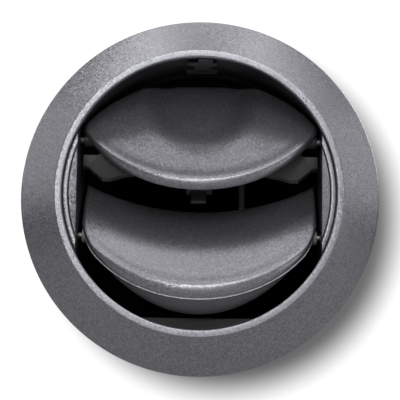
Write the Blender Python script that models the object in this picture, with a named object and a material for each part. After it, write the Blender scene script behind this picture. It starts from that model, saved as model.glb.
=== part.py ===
"""Round dashboard air vent with a turning rotor and two coupled flaps.

Metres, +Z up, +X to the right. The vent's axis is Y, and its face looks along -Y.
The origin lies on the axis, in the plane where the bezel seats on the dashboard.
The model rests with the flaps part open: their tops lie back and their lips stand out.
"""
import math

import bmesh
import bpy
from mathutils import Matrix, Vector

MM = 0.001

# Clearances
GAP = 0.3 * MM
RUN_GAP = 0.4 * MM
FLAP_SIDE_GAP = 1.0 * MM
FLAP_TIP_GAP = 1.2 * MM

# Bezel
CONE_WIDTH = 11.5 * MM
BEZEL_EDGE = 2.2 * MM
BEZEL_HEIGHT = 12.3 * MM
BEZEL_WALL = 1.8 * MM
SEAT_WIDTH = 2.2 * MM
RIM_WIDTH = 2.15 * MM
RIM_LIP = 2.0 * MM
RIM_COVER = 0.85 * MM
RIB_COUNT = 12
RIB_THICKNESS = 1.2 * MM
RIB_SETBACK = 1.6 * MM

# Rotor drum
DRUM_INNER = 42.2 * MM
DRUM_WALL = 1.5 * MM
DRUM_LENGTH = 34.0 * MM
CHEEK_WIDTH = 4.05 * MM
CHEEK_LENGTH = 24.0 * MM
CAP_THICKNESS = 1.7 * MM
CAP_RECESS = 0.3 * MM
STRIP_WIDTH = 1.4 * MM
PARTING = 0.3 * MM
FLANGE_HEIGHT = 1.6 * MM
FLANGE_THICKNESS = 2.0 * MM
SHOULDER_HEIGHT = 0.9 * MM
SHOULDER_LENGTH = 2.5 * MM
CHIN_RISE = 5.2 * MM
CHIN_DEPTH = 13.0 * MM
CHIN_THICKNESS = 2.0 * MM
REST_WIDTH = 9.8 * MM
REST_TIP_WIDTH = 8.4 * MM
REST_FRONT = 8.0 * MM
REST_LENGTH = 3.0 * MM
REST_DROP = 1.4 * MM
REST_BEVEL = 0.2 * MM

# Index clip on the drum's ceiling
LATCH_THICKNESS = 0.9 * MM
LATCH_RECESS = 0.6 * MM
LATCH_START = -9.6 * MM
LATCH_TAB = (1.35 * MM, 4.5 * MM, 4.4 * MM)
LATCH_BAR = (0.3 * MM, 9.0 * MM, 2.6 * MM)
LATCH_PLATE = (0.4 * MM, 5.2 * MM, 6.0 * MM)

# Barrel and inlet
COLLAR_WALL = 1.4 * MM
COLLAR_LENGTH = 22.1 * MM
BARREL_WALL = 1.6 * MM
BARREL_FRONT = 1.0 * MM
BRAKE_LENGTH = 2.8 * MM
BARREL_LENGTH = 31.0 * MM
INLET_FLANGE = 2.2 * MM
INLET_CONE = 9.0 * MM
SPIGOT_RADIUS = 37.5 * MM
SPIGOT_WALL = 1.8 * MM
SPIGOT_LENGTH = 15.0 * MM
FLANGE_MARGIN = 0.8 * MM
BARREL_FLANGE = 2.4 * MM
HEAD_CLEARANCE = 0.5 * MM
SCREW_COUNT = 4
SCREW_RADIUS = 1.3 * MM
SCREW_HEAD = 2.6 * MM
SCREW_HEAD_HEIGHT = 1.7 * MM
SCREW_HEAD_ROUND = 0.8 * MM
SCREW_LENGTH = 6.5 * MM
SCREW_POINT = 0.9 * MM

# Seals and clips
SEAL_SETBACK = 1.5 * MM
DASH_SEAL_THICKNESS = 1.2 * MM
DUCT_SEAL_THICKNESS = 2.6 * MM
DUCT_SEAL_LENGTH = 7.0 * MM
DUCT_SEAL_SETBACK = 2.0 * MM
DUCT_SEAL_ROUND = 0.8 * MM
CLIP_COUNT = 4
CLIP_WIDTH = 9.0 * MM
CLIP_THICKNESS = 0.8 * MM
CLIP_LENGTH = 16.0 * MM
CLIP_BOW = 2.4 * MM
CLIP_START = 1.6 * MM
CLIP_FOOT = 3.0 * MM
CLIP_PEAK = 0.4

# Flaps, given as they stand when closed
FLAP_ANGLE = math.radians(31.0)
PIVOT_DEPTH = 11.3 * MM
UPPER_PIVOT = 17.4 * MM
LOWER_PIVOT = 12.4 * MM
FACE_OFFSET = 4.2 * MM
SHELL_WALL = 1.4 * MM
UPPER_LIP_RADIUS = 2.4 * MM
LOWER_LIP_RADIUS = 3.1 * MM
TIP_HEIGHT = 1.5 * MM
UPPER_LIP = 3.6 * MM
UPPER_FLAT = 40.3 * MM
LOWER_LIP = 36.6 * MM
LOWER_REAR = 1.4 * MM
LOWER_CORNER = 15.0 * MM
CORNER_RISE = 5.0 * MM
CORNER_START = 0.86
REAR_RISE = 11.0 * MM
REAR_DROP = 5.2 * MM
REAR_REACH = 0.62
REAR_CURVE = 1.6
LIP_STEP = 0.1 * MM
DISH_DEPTH = 0.8 * MM
DISH_REACH = 16.0 * MM
SCOOP_WIDTH = 17.0 * MM
SCOOP_LENGTH = 23.0 * MM
SCOOP_DEPTH = 4.4 * MM
SCOOP_INSET = 5.0 * MM
SCOOP_EDGE = 8.0 * MM
SCOOP_RING = 1.04
SCOOP_SOFTNESS = 0.62
SCOOP_FADE = 0.75
BEAD_HEIGHT = 0.7 * MM
BEAD_SPREAD = 2.4 * MM

# Backs of the flaps
PAN_WALL = 1.3 * MM
UPPER_PAN_DEPTH = 5.6 * MM
LOWER_PAN_DEPTH = 13.0 * MM
UPPER_PAN_INSET = 3.2 * MM
LOWER_PAN_INSET = 1.3 * MM
UPPER_PAN_RAMP = 6.0 * MM
LOWER_PAN_RAMP = 1.6 * MM
UPPER_PAN_TOP = 7.0 * MM
UPPER_PAN_HEIGHT = 2.0 * MM
UPPER_PAN_FLATTEN = 0.3
LOWER_PAN_TOP = 4.0 * MM
LOWER_PAN_FLATTEN = 0.7
LOWER_PAN_DEEP = 14.0 * MM
LOWER_PAN_SHALLOW = 4.0 * MM
BOSS_RADIUS = 2.2 * MM
BOSS_LENGTH = 4.5 * MM
BOSS_FLOOR = 0.8 * MM
PIN_RADIUS = 1.1 * MM
PIN_ENGAGE = 1.2 * MM
BUSH_WALL = 0.9 * MM
EAR_PLATE = 1.6 * MM
EAR_REACH = 0.4 * MM
EAR_FRONT = -0.3 * MM
EAR_LEAN = 0.77
EAR_TOP = 3.7 * MM
EAR_FOOT = 6.5 * MM
# Corners of an ear between its two ends, as (distance in from the flap's side, drop under the pivot)
EAR_CORNERS = ((4.3 * MM, 3.7 * MM), (6.9 * MM, 1.0 * MM), (15.9 * MM, 1.0 * MM), (15.9 * MM, 8.3 * MM),
               (11.9 * MM, 8.8 * MM), (8.4 * MM, 9.6 * MM), (5.7 * MM, 9.6 * MM), (3.3 * MM, 8.2 * MM),
               (1.3 * MM, 6.8 * MM))
SHELF_CENTRE = -0.2 * MM
SHELF_WIDTH = 8.0 * MM
SHELF_REACH = 10.6 * MM
SHELF_THICKNESS = 1.9 * MM
SHELF_DROP = 12.9 * MM
STEM_CENTRE = -0.4 * MM
STEM_WIDTH = 4.8 * MM
STEM_DROP = 16.6 * MM
STEM_THICKNESS = 1.6 * MM
STEM_SINK = 0.4 * MM
STEM_SETBACK = 0.15 * MM

# Coupling
CRANK_LENGTH = 17.0 * MM
CRANK_X = 10.2 * MM
CRANK_THICKNESS = 1.6 * MM
CRANK_WIDTH = 4.4 * MM
UPPER_CRANK_ROOT = 2.0 * MM
LOWER_CRANK_ROOT = 3.0 * MM
LINK_THICKNESS = 1.9 * MM
LINK_WIDTH = 3.2 * MM
CRANK_PIN_RADIUS = 0.8 * MM
CRANK_PIN_END = 0.6 * MM

# Facets
AROUND = 60
ARC_STEPS = 3
FINE_EDGE = 1.0 * MM
SMOOTH_ANGLE = math.radians(35.0)

# Worked out from the sizes above
RIM_INNER = DRUM_INNER - RIM_COVER
RIM_OUTER = RIM_INNER + RIM_WIDTH
BEZEL_RADIUS = RIM_OUTER + CONE_WIDTH
SEAT_INNER = BEZEL_RADIUS - SEAT_WIDTH
DRUM_OUTER = DRUM_INNER + DRUM_WALL
COLLAR_INNER = DRUM_OUTER + RUN_GAP
COLLAR_OUTER = COLLAR_INNER + COLLAR_WALL
BARREL_INNER = COLLAR_OUTER + GAP
BARREL_OUTER = BARREL_INNER + BARREL_WALL
FACE_RADIUS = RIM_INNER - RUN_GAP
CHEEK_X = FACE_RADIUS - CHEEK_WIDTH
CAP_FRONT = -BEZEL_HEIGHT + CAP_RECESS
DRUM_FRONT = -BEZEL_HEIGHT + RIM_LIP + GAP
COLLAR_END = DRUM_FRONT + COLLAR_LENGTH
FLANGE_FRONT = COLLAR_END + RUN_GAP
FLANGE_BACK = FLANGE_FRONT + FLANGE_THICKNESS
BRAKE_FRONT = FLANGE_BACK + GAP
SLEEVE_FRONT = BRAKE_FRONT + BRAKE_LENGTH + GAP
SLEEVE_INNER = DRUM_OUTER + RUN_GAP
SLEEVE_OUTER = BARREL_INNER - GAP
DRUM_BACK = DRUM_FRONT + DRUM_LENGTH
FLAP_RADIUS = DRUM_INNER - FLAP_TIP_GAP
FLAP_HALF = CHEEK_X - FLAP_SIDE_GAP
PIVOT_Y = -BEZEL_HEIGHT + PIVOT_DEPTH
TIP_TOP = math.sqrt(FLAP_RADIUS ** 2 - FLAP_HALF ** 2)
TIP_LIP = TIP_TOP - TIP_HEIGHT
BUSH_RADIUS = PIN_RADIUS + GAP + BUSH_WALL
SCREW_CIRCLE = BARREL_OUTER + SCREW_HEAD + HEAD_CLEARANCE
SCREW_FLANGE = SCREW_CIRCLE + SCREW_HEAD + FLANGE_MARGIN


def material(name, colour, roughness, metallic=0.0):
    made = bpy.data.materials.new(name)
    made.use_nodes = True
    shader = made.node_tree.nodes["Principled BSDF"]
    shader.inputs["Base Color"].default_value = (*colour, 1.0)
    shader.inputs["Roughness"].default_value = roughness
    shader.inputs["Metallic"].default_value = metallic
    return made


def finish_mesh(name, bm, finish, wound=False):
    """Turn a bmesh into an object; wound says that its faces already point outwards."""
    bmesh.ops.remove_doubles(bm, verts=bm.verts, dist=1e-7)
    if not wound:
        bmesh.ops.recalc_face_normals(bm, faces=bm.faces)
    mesh = bpy.data.meshes.new(name)
    bm.to_mesh(mesh)
    bm.free()
    mesh.shade_smooth()
    mesh.set_sharp_from_angle(angle=SMOOTH_ANGLE)
    made = bpy.data.objects.new(name, mesh)
    bpy.context.scene.collection.objects.link(made)
    if finish:
        mesh.materials.append(finish)
    return made


def rounded(corners):
    """Outline through corners (a, b, radius), each turned into an arc, or a chamfer where it is fine."""
    outline = []
    count = len(corners)
    for index, (a, b, radius) in enumerate(corners):
        here = Vector((a, b))
        steps = ARC_STEPS if radius >= FINE_EDGE else 1
        if radius <= 0:
            outline.append(here)
            continue
        before = (Vector(corners[index - 1][:2]) - here).normalized()
        after = (Vector(corners[(index + 1) % count][:2]) - here).normalized()
        half = before.angle(after) / 2
        reach = radius / math.tan(half)
        centre = here + (before + after).normalized() * radius / math.sin(half)
        start = here + before * reach - centre
        sweep = start.angle_signed(here + after * reach - centre)
        for step in range(steps + 1):
            outline.append(centre + Matrix.Rotation(-sweep * step / steps, 2) @ start)
    return outline


def circle(radius, centre=(0.0, 0.0), sides=16):
    turn = 2 * math.pi / sides
    return [Vector((centre[0] + radius * math.cos(turn * k), centre[1] + radius * math.sin(turn * k)))
            for k in range(sides)]


def add_revolved(bm, profile, steps=AROUND):
    """Spin a closed profile of (radius, y) points about the vent's axis."""
    verts = [bm.verts.new((p[0], p[1], 0.0)) for p in profile]
    edges = [bm.edges.new((verts[k - 1], verts[k])) for k in range(len(verts))]
    bmesh.ops.spin(bm, geom=verts + edges, cent=(0, 0, 0), axis=(0, 1, 0),
                   angle=2 * math.pi, steps=steps, use_merge=True, use_duplicate=False)


def add_prism(bm, outline, axis, low, high, turn=None):
    """Extrude an outline along X, Y or Z from low to high.

    Outline points are (y, z) for X, (x, z) for Y and (x, y) for Z.
    """
    place = {
        "X": lambda p, t: Vector((t, p[0], p[1])),
        "Y": lambda p, t: Vector((p[0], t, p[1])),
        "Z": lambda p, t: Vector((p[0], p[1], t)),
    }[axis]
    face = bm.faces.new([bm.verts.new(place(p, low)) for p in outline])
    extruded = bmesh.ops.extrude_face_region(bm, geom=[face], use_keep_orig=True)
    top = [item for item in extruded["geom"] if isinstance(item, bmesh.types.BMVert)]
    bmesh.ops.translate(bm, verts=top, vec=place((0, 0), high) - place((0, 0), low))
    if turn is not None:
        around = list(face.verts) + top
        bmesh.ops.transform(bm, matrix=turn, verts=around)


def prism(name, outline, axis, low, high, finish):
    bm = bmesh.new()
    add_prism(bm, outline, axis, low, high)
    return finish_mesh(name, bm, finish)


def revolved(name, profile, finish, steps=AROUND):
    bm = bmesh.new()
    add_revolved(bm, profile, steps)
    return finish_mesh(name, bm, finish)


def combine(target, tool_mesh, name, operation):
    """Join a tool to the target or cut it out; the tool stays as a hidden guide."""
    tool = finish_mesh(name, tool_mesh, None)
    tool.hide_render = True
    tool.display_type = "WIRE"
    tool.parent = target.parent
    modifier = target.modifiers.new(name, "BOOLEAN")
    modifier.operation = operation
    modifier.solver = "EXACT"
    modifier.object = tool
    return tool


def about_axis(angle):
    return Matrix.Rotation(angle, 4, "Y")


def sagitta_radius(half_chord, rise):
    return (half_chord ** 2 + rise ** 2) / (2 * rise)


def smooth_step(value):
    t = min(max(value, 0.0), 1.0)
    return t * t * (3 - 2 * t)


# The fixed pieces


def cone_y(radius):
    """Depth of the bezel's painted cone at a radius."""
    share = (radius - RIM_OUTER) / (BEZEL_RADIUS - RIM_OUTER)
    return -BEZEL_HEIGHT + share * (BEZEL_HEIGHT - BEZEL_EDGE)


def under_cone_y(radius):
    slope = (BEZEL_HEIGHT - BEZEL_EDGE) / (BEZEL_RADIUS - RIM_OUTER)
    return cone_y(radius) + BEZEL_WALL * math.hypot(1, slope)


def make_bezel(finish):
    lip_back = -BEZEL_HEIGHT + RIM_LIP
    profile = rounded([
        (BEZEL_RADIUS, 0.0, 0.0),
        (BEZEL_RADIUS, -BEZEL_EDGE, BEZEL_EDGE * 0.8),
        (RIM_OUTER, -BEZEL_HEIGHT, 0.5 * MM),
        (RIM_INNER, -BEZEL_HEIGHT, 0.5 * MM),
        (RIM_INNER, lip_back, 0.0),
        (COLLAR_INNER, lip_back, 0.0),
        (COLLAR_INNER, under_cone_y(COLLAR_INNER), 0.0),
        (SEAT_INNER, under_cone_y(SEAT_INNER), 0.0),
        (SEAT_INNER, 0.0, 0.0),
    ])
    bezel = revolved("bezel_ring", profile, finish)
    bm = bmesh.new()
    sink = BEZEL_WALL / 2
    for index in range(RIB_COUNT):
        low = BARREL_OUTER + GAP
        high = SEAT_INNER + sink
        rib = [(low, under_cone_y(low) - sink), (high, under_cone_y(high) - sink),
               (high, -RIB_SETBACK), (low, -RIB_SETBACK)]
        half = RIB_THICKNESS / 2
        add_prism(bm, rib, "Z", -half, half, about_axis(2 * math.pi * (index + 0.5) / RIB_COUNT))
    combine(bezel, bm, "bezel_ribs", "UNION")
    return bezel


def make_collar(finish):
    """Tube between the bezel and the drum's flange, which keeps the rotor in the barrel."""
    front = [(radius, under_cone_y(radius) + RUN_GAP) for radius in (COLLAR_INNER, COLLAR_OUTER)]
    back = [(COLLAR_OUTER, COLLAR_END), (COLLAR_INNER, COLLAR_END)]
    return revolved("retaining_collar", front + back, finish)


def screw_turn(index):
    return about_axis(2 * math.pi * (index + 0.5) / SCREW_COUNT)


def drill_flange(piece, low, high):
    """Holes for the screws through a flange between two depths."""
    holes = bmesh.new()
    hole = circle(SCREW_RADIUS + GAP, (SCREW_CIRCLE, 0.0), 12)
    for index in range(SCREW_COUNT):
        add_prism(holes, hole, "Y", low, high, screw_turn(index))
    combine(piece, holes, f"{piece.name}_holes", "DIFFERENCE")


def make_barrel(finish):
    profile = [
        (BARREL_INNER, BARREL_FRONT), (BARREL_INNER, BARREL_LENGTH),
        (SCREW_FLANGE, BARREL_LENGTH), (SCREW_FLANGE, BARREL_LENGTH - BARREL_FLANGE),
        (BARREL_OUTER, BARREL_LENGTH - BARREL_FLANGE), (BARREL_OUTER, BARREL_FRONT),
    ]
    barrel = revolved("barrel", profile, finish)
    drill_flange(barrel, BARREL_LENGTH - BARREL_FLANGE - GAP, BARREL_LENGTH + GAP)
    return barrel


def make_inlet_collar(finish):
    front = BARREL_LENGTH + GAP
    flange_back = front + INLET_FLANGE
    cone_back = flange_back + INLET_CONE
    back = cone_back + SPIGOT_LENGTH
    inner = SPIGOT_RADIUS - SPIGOT_WALL
    profile = rounded([
        (SLEEVE_INNER, SLEEVE_FRONT, 0.0), (SLEEVE_OUTER, SLEEVE_FRONT, 0.0),
        (SLEEVE_OUTER, front, 0.0), (SCREW_FLANGE, front, 0.0), (SCREW_FLANGE, flange_back, 0.0),
        (BARREL_OUTER, flange_back, 0.0),
        (SPIGOT_RADIUS, cone_back, 0.0), (SPIGOT_RADIUS, back, 0.6 * MM), (inner, back, 0.0),
        (inner, cone_back, 0.0), (SLEEVE_INNER, front, 0.0),
    ])
    collar = revolved("inlet_collar", profile, finish)
    drill_flange(collar, front - GAP, flange_back + GAP)
    return collar


def make_screw(index, finish):
    seat = BARREL_LENGTH + GAP + INLET_FLANGE + GAP
    top, end = seat + SCREW_HEAD_HEIGHT, seat - SCREW_LENGTH
    profile = rounded([(0.0, top, 0.0), (SCREW_HEAD, top, SCREW_HEAD_ROUND),
                       (SCREW_HEAD, seat, 0.0), (SCREW_RADIUS, seat, 0.0),
                       (SCREW_RADIUS, end, 0.0), (0.0, end - SCREW_POINT, 0.0)])
    bm = bmesh.new()
    verts = [bm.verts.new((p[0], p[1], 0.0)) for p in profile]
    edges = [bm.edges.new((verts[k], verts[k + 1])) for k in range(len(verts) - 1)]
    bmesh.ops.spin(bm, geom=verts + edges, cent=(0, 0, 0), axis=(0, 1, 0),
                   angle=2 * math.pi, steps=14, use_merge=True, use_duplicate=False)
    bmesh.ops.translate(bm, verts=bm.verts, vec=(SCREW_CIRCLE, 0, 0))
    bmesh.ops.transform(bm, matrix=screw_turn(index), verts=bm.verts)
    return finish_mesh(f"collar_screw_{index + 1}", bm, finish)


def make_seals(foam, felt):
    inner = BARREL_OUTER + GAP
    outer = SEAT_INNER - SEAL_SETBACK
    revolved("dash_seal", [(inner, 0.0), (outer, 0.0), (outer, -DASH_SEAL_THICKNESS),
                           (inner, -DASH_SEAL_THICKNESS)], foam, 48)
    inner, outer = DRUM_OUTER + GAP, BARREL_INNER - GAP
    front, back = BRAKE_FRONT, BRAKE_FRONT + BRAKE_LENGTH
    revolved("brake_ring", [(inner, front), (outer, front), (outer, back), (inner, back)], felt, 48)
    back = BARREL_LENGTH + GAP + INLET_FLANGE + INLET_CONE + SPIGOT_LENGTH - DUCT_SEAL_SETBACK
    front = back - DUCT_SEAL_LENGTH
    inner = SPIGOT_RADIUS + GAP
    outer = inner + DUCT_SEAL_THICKNESS
    revolved("duct_seal", rounded([(inner, back, 0.0), (outer, back, DUCT_SEAL_ROUND),
                                   (outer, front, DUCT_SEAL_ROUND), (inner, front, 0.0)]), foam, 48)


def make_clip(index, finish):
    """Bowed spring clip whose foot lies on the barrel and whose bow grips the dashboard."""
    inner = BARREL_OUTER + GAP
    start, end = CLIP_START, CLIP_START + CLIP_LENGTH
    peak = start + CLIP_LENGTH * CLIP_PEAK
    line = [(inner, end), (inner, end - CLIP_FOOT), (inner + CLIP_BOW, peak), (inner, start)]
    outer = [(r + CLIP_THICKNESS, y) for r, y in line]
    bm = bmesh.new()
    half = CLIP_WIDTH / 2
    turn = about_axis(-2 * math.pi * (index + 0.5) / CLIP_COUNT)
    add_prism(bm, line + outer[::-1], "Z", -half, half, turn)
    return finish_mesh(f"panel_clip_{index + 1}", bm, finish)


# The rotor


def segment(radius, chord, steps=14):
    """Outline of the circle segment beyond a chord at x = chord."""
    half = math.acos(chord / radius)
    turns = [half * (2 * k / steps - 1) for k in range(steps + 1)]
    return [Vector((radius * math.cos(turn), radius * math.sin(turn))) for turn in turns]


def pivots():
    return [("upper", UPPER_PIVOT), ("lower", -LOWER_PIVOT)]


def stacked(start, steps):
    """Outline of blocks that follow one another, each a (centre, width, length)."""
    right, left = [], []
    for centre, width, length in steps:
        end = start + length
        right += [(centre + width / 2, start), (centre + width / 2, end)]
        left += [(centre - width / 2, start), (centre - width / 2, end)]
        start = end
    return right + left[::-1]


def ceiling_rest(middle):
    """Outline of the low block on the drum's ceiling, narrower at its tip; it starts inside the wall."""
    tip = DRUM_INNER - REST_DROP
    side = [(REST_WIDTH / 2, middle), (REST_WIDTH / 2, tip + REST_BEVEL), (REST_TIP_WIDTH / 2, tip)]
    return [(-x, z) for x, z in side] + side[::-1]


def make_drum(finish):
    shoulder = DRUM_INNER - SHOULDER_HEIGHT
    flange = DRUM_OUTER + FLANGE_HEIGHT
    profile = [
        (DRUM_INNER, DRUM_FRONT), (DRUM_OUTER, DRUM_FRONT), (DRUM_OUTER, FLANGE_FRONT),
        (flange, FLANGE_FRONT), (flange, FLANGE_BACK), (DRUM_OUTER, FLANGE_BACK),
        (DRUM_OUTER, DRUM_BACK), (DRUM_INNER, DRUM_BACK),
        (DRUM_INNER, FLANGE_BACK + SHOULDER_LENGTH), (shoulder, FLANGE_BACK + SHOULDER_LENGTH),
        (shoulder, FLANGE_BACK), (DRUM_INNER, FLANGE_BACK - SHOULDER_HEIGHT),
    ]
    drum = revolved("rotor_drum", profile, finish)
    bm = bmesh.new()
    middle = (DRUM_INNER + DRUM_OUTER) / 2
    cheek = segment(middle, CHEEK_X)
    for side in (0.0, math.pi):
        add_prism(bm, cheek, "Y", DRUM_FRONT, DRUM_FRONT + CHEEK_LENGTH, about_axis(side))
    chin = DRUM_FRONT + CHIN_DEPTH
    add_prism(bm, segment(middle, DRUM_INNER - CHIN_RISE), "Y", chin, chin + CHIN_THICKNESS,
              about_axis(math.pi / 2))
    add_prism(bm, ceiling_rest(middle), "Y", REST_FRONT, REST_FRONT + REST_LENGTH)
    combine(drum, bm, "drum_cheeks", "UNION")
    pockets = bmesh.new()
    for _, height in pivots():
        for side in (-1, 1):
            low, high = sorted((side * (CHEEK_X - GAP), side * (CHEEK_X + PIN_ENGAGE + 2 * GAP)))
            add_prism(pockets, circle(BUSH_RADIUS + GAP, (PIVOT_Y, height)), "X", low, high)
    combine(drum, pockets, "bush_pockets", "DIFFERENCE")
    return drum


def make_index_clip(finish):
    """Clip on the ceiling of the drum: a tab, a cross bar and a small plate on one strip."""
    top = DRUM_INNER - LATCH_RECESS
    outline = stacked(LATCH_START, [LATCH_TAB, LATCH_BAR, LATCH_PLATE])
    return prism("index_clip", outline, "Z", top - LATCH_THICKNESS, top, finish)


def make_cheek_faces(paint):
    """Painted strip and inner cap on the front of each cheek."""
    inner = FACE_RADIUS - STRIP_WIDTH
    steps = 12
    strip = segment(FACE_RADIUS, CHEEK_X, steps) + segment(inner, CHEEK_X, steps)[::-1]
    cap = segment(inner - PARTING, CHEEK_X, steps)
    for name, side in (("right", 0.0), ("left", math.pi)):
        for piece, outline in (("strip", strip), ("cap", cap)):
            bm = bmesh.new()
            add_prism(bm, outline, "Y", CAP_FRONT, CAP_FRONT + CAP_THICKNESS, about_axis(side))
            finish_mesh(f"cheek_{piece}_{name}", bm, paint)


def make_bushes(rubber):
    for flap, height in pivots():
        for name, side in (("left", -1), ("right", 1)):
            low, high = sorted((side * (CHEEK_X + GAP), side * (CHEEK_X + GAP + PIN_ENGAGE)))
            centre = (PIVOT_Y, height)
            bush = prism(f"{flap}_bush_{name}", circle(BUSH_RADIUS, centre), "X", low, high, rubber)
            bore = bmesh.new()
            add_prism(bore, circle(PIN_RADIUS + GAP, centre), "X", low - GAP, high + GAP)
            combine(bush, bore, f"{flap}_bore_{name}", "DIFFERENCE")


# The flaps, each built closed round its own pivot and then turned open


def flap_frame(name, height):
    frame = bpy.data.objects.new(name, None)
    frame.location = (0.0, PIVOT_Y, height)
    frame.rotation_euler = (-FLAP_ANGLE, 0.0, 0.0)
    bpy.context.scene.collection.objects.link(frame)
    return frame


def lip_radius(x, full):
    """The lip's round fades towards the tips."""
    share = abs(x) / FLAP_HALF
    return SHELL_WALL + LIP_STEP + (full - SHELL_WALL) * (1 - share ** 3)


def upper_bottom(x):
    rise = TIP_LIP + UPPER_LIP
    radius = sagitta_radius(FLAP_HALF, rise)
    return -UPPER_LIP + radius - math.sqrt(radius ** 2 - x ** 2)


def upper_top(x):
    return min(math.sqrt(FLAP_RADIUS ** 2 - x ** 2), UPPER_FLAT)


def lower_bottom(x):
    rise = LOWER_LIP - LOWER_CORNER
    radius = sagitta_radius(FLAP_HALF, rise)
    arc = -LOWER_LIP + radius - math.sqrt(radius ** 2 - x ** 2)
    corner = CORNER_RISE * max(0.0, (abs(x) / FLAP_HALF - CORNER_START) / (1 - CORNER_START)) ** 3
    return arc + corner


def lower_top(x):
    radius = sagitta_radius(FLAP_HALF, REAR_RISE)
    return -LOWER_REAR + radius - math.sqrt(radius ** 2 - x ** 2)


def bead(distance, x, lip):
    """Low swelling of the face just behind the lip."""
    fade = 1 - (abs(x) / FLAP_HALF) ** 4
    return BEAD_HEIGHT * fade * math.exp(-((distance - lip) / BEAD_SPREAD) ** 2)


def upper_face(x, z):
    """Height of the upper face over the pivot plane: a bead, a light dish and the thumb scoop."""
    distance = z - upper_bottom(x)
    near_top = smooth_step(1 - (UPPER_FLAT - z) / SCOOP_EDGE)
    dish = DISH_DEPTH * (1 - (x / FLAP_HALF) ** 2) * smooth_step(distance / DISH_REACH)
    ring = math.hypot(x / SCOOP_WIDTH, (z - UPPER_FLAT + SCOOP_INSET) / SCOOP_LENGTH)
    scoop = SCOOP_DEPTH * smooth_step((SCOOP_RING - ring) / SCOOP_SOFTNESS)
    dish, scoop = dish * (1 - near_top), scoop * (1 - SCOOP_FADE * near_top)
    return FACE_OFFSET + bead(distance, x, UPPER_LIP_RADIUS) - dish - scoop


def lower_face(x, z):
    """Height of the lower face: a bead, and a rear part that falls away under the upper lip."""
    distance = z - lower_bottom(x)
    full = lower_top(0.0) - lower_bottom(0.0)
    fall = max(0.0, 1 - (lower_top(x) - z) / (full * REAR_REACH))
    return FACE_OFFSET + bead(distance, x, LOWER_LIP_RADIUS) - REAR_DROP * fall ** REAR_CURVE


def arc_rise(distance, radius):
    if radius <= 0:
        return 0.0
    return math.sqrt(radius ** 2 - (radius - min(max(distance, 0.0), radius)) ** 2)


def grid_rows(bottom, top, near_low, near_high, middle):
    """Heights of a column's rows, close together near both edges."""
    height = top - bottom
    scale = min(1.0, height / (14 * MM))
    low = [bottom + d * scale for d in near_low]
    high = [top - d * scale for d in near_high]
    between = [low[-1] + (high[0] - low[-1]) * k / (middle + 1) for k in range(1, middle + 1)]
    return low + between + high


def add_skin(bm, columns, front, back):
    """Closed solid between two height fields that meet along their common edge.

    columns is a list of (x, [z rows]); front and back give the height at (x, z).
    """
    def sheet(height):
        made = []
        for x, rows in columns:
            made.append([bm.verts.new((x, -height(x, z), z)) for z in rows])
        return made

    outer, inner = sheet(front), sheet(back)
    last_column, last_row = len(columns) - 1, len(columns[0][1]) - 1
    for i in range(last_column + 1):
        for k in range(last_row + 1):
            if i in (0, last_column) or k in (0, last_row):
                bm.verts.remove(inner[i][k])
                inner[i][k] = outer[i][k]
    for i in range(last_column):
        for k in range(last_row):
            bm.faces.new((outer[i][k], outer[i + 1][k], outer[i + 1][k + 1], outer[i][k + 1]))
            bm.faces.new((inner[i][k], inner[i][k + 1], inner[i + 1][k + 1], inner[i + 1][k]))


def spread(half, steps):
    """Column places from -half to half, close together at the ends."""
    return [half * math.sin(math.pi / 2 * k / steps) for k in range(-steps, steps + 1)]


class Flap:
    """Outline and painted surface of a flap, as it stands closed."""

    def __init__(self, name, pivot, bottom, top, face, lip):
        self.name, self.pivot = name, pivot
        self.bottom, self.top, self.face, self.lip = bottom, top, face, lip

    def height(self, x, z, inset=0.0):
        """Height over the pivot plane of the surface that lies inset under the painted one."""
        lip = lip_radius(x, self.lip) - inset
        edge = SHELL_WALL - inset
        drop = max(lip - arc_rise(z - self.bottom(x) - inset, lip),
                   edge - arc_rise(self.top(x) - z - inset, edge),
                   edge - arc_rise(FLAP_HALF - abs(x) - inset, edge))
        return self.face(x, z) - inset - drop


def make_shell(flap, frame, finish):
    """Painted shell: a face with a rolled lip, thin side edges and a thin rear edge."""
    near_low = [0.0, 0.35 * MM, SHELL_WALL, 2.1 * MM, flap.lip + 0.3 * MM, 5.2 * MM]
    near_high = [SHELL_WALL, 0.45 * MM, 0.0]
    columns = [(x, grid_rows(flap.bottom(x), flap.top(x), near_low, near_high, 7))
               for x in spread(FLAP_HALF, 12)]
    bm = bmesh.new()
    add_skin(bm, columns, flap.height, lambda x, z: flap.height(x, z, SHELL_WALL))
    bmesh.ops.translate(bm, verts=bm.verts, vec=(0, 0, -flap.pivot))
    made = finish_mesh(f"{flap.name}_flap_shell", bm, finish, wound=True)
    made.parent = frame
    return made


def make_pan(flap, frame, bottom, top, depth, ramp, half, finish):
    """Dark back of a flap: an open pan whose rim lies close behind the painted face."""
    near_low = [0.0, 0.5 * MM, PAN_WALL, 2.2 * MM, 3.4 * MM]
    near_high = [3.4 * MM, PAN_WALL, 0.0]
    columns = [(x, grid_rows(bottom(x), top(x), near_low, near_high, 5)) for x in spread(half, 9)]

    def rim(x, z):
        return flap.height(x, z, SHELL_WALL + GAP) - GAP

    def bulge(x, z, inset):
        near = min(z - bottom(x), top(x) - z, (half - abs(x)) * 0.5) - inset
        share = min(max(near / ramp, 0.0), 1.0)
        return depth(x, z) * (1 - (1 - share) ** 3)

    def back(x, z):
        return rim(x, z) - bulge(x, z, 0.0)

    def front(x, z):
        return rim(x, z) - max(0.0, bulge(x, z, PAN_WALL) - PAN_WALL)

    bm = bmesh.new()
    add_skin(bm, columns, front, back)
    bmesh.ops.translate(bm, verts=bm.verts, vec=(0, 0, -flap.pivot))
    made = finish_mesh(f"{flap.name}_flap_pan", bm, finish, wound=True)
    made.parent = frame
    return made


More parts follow.
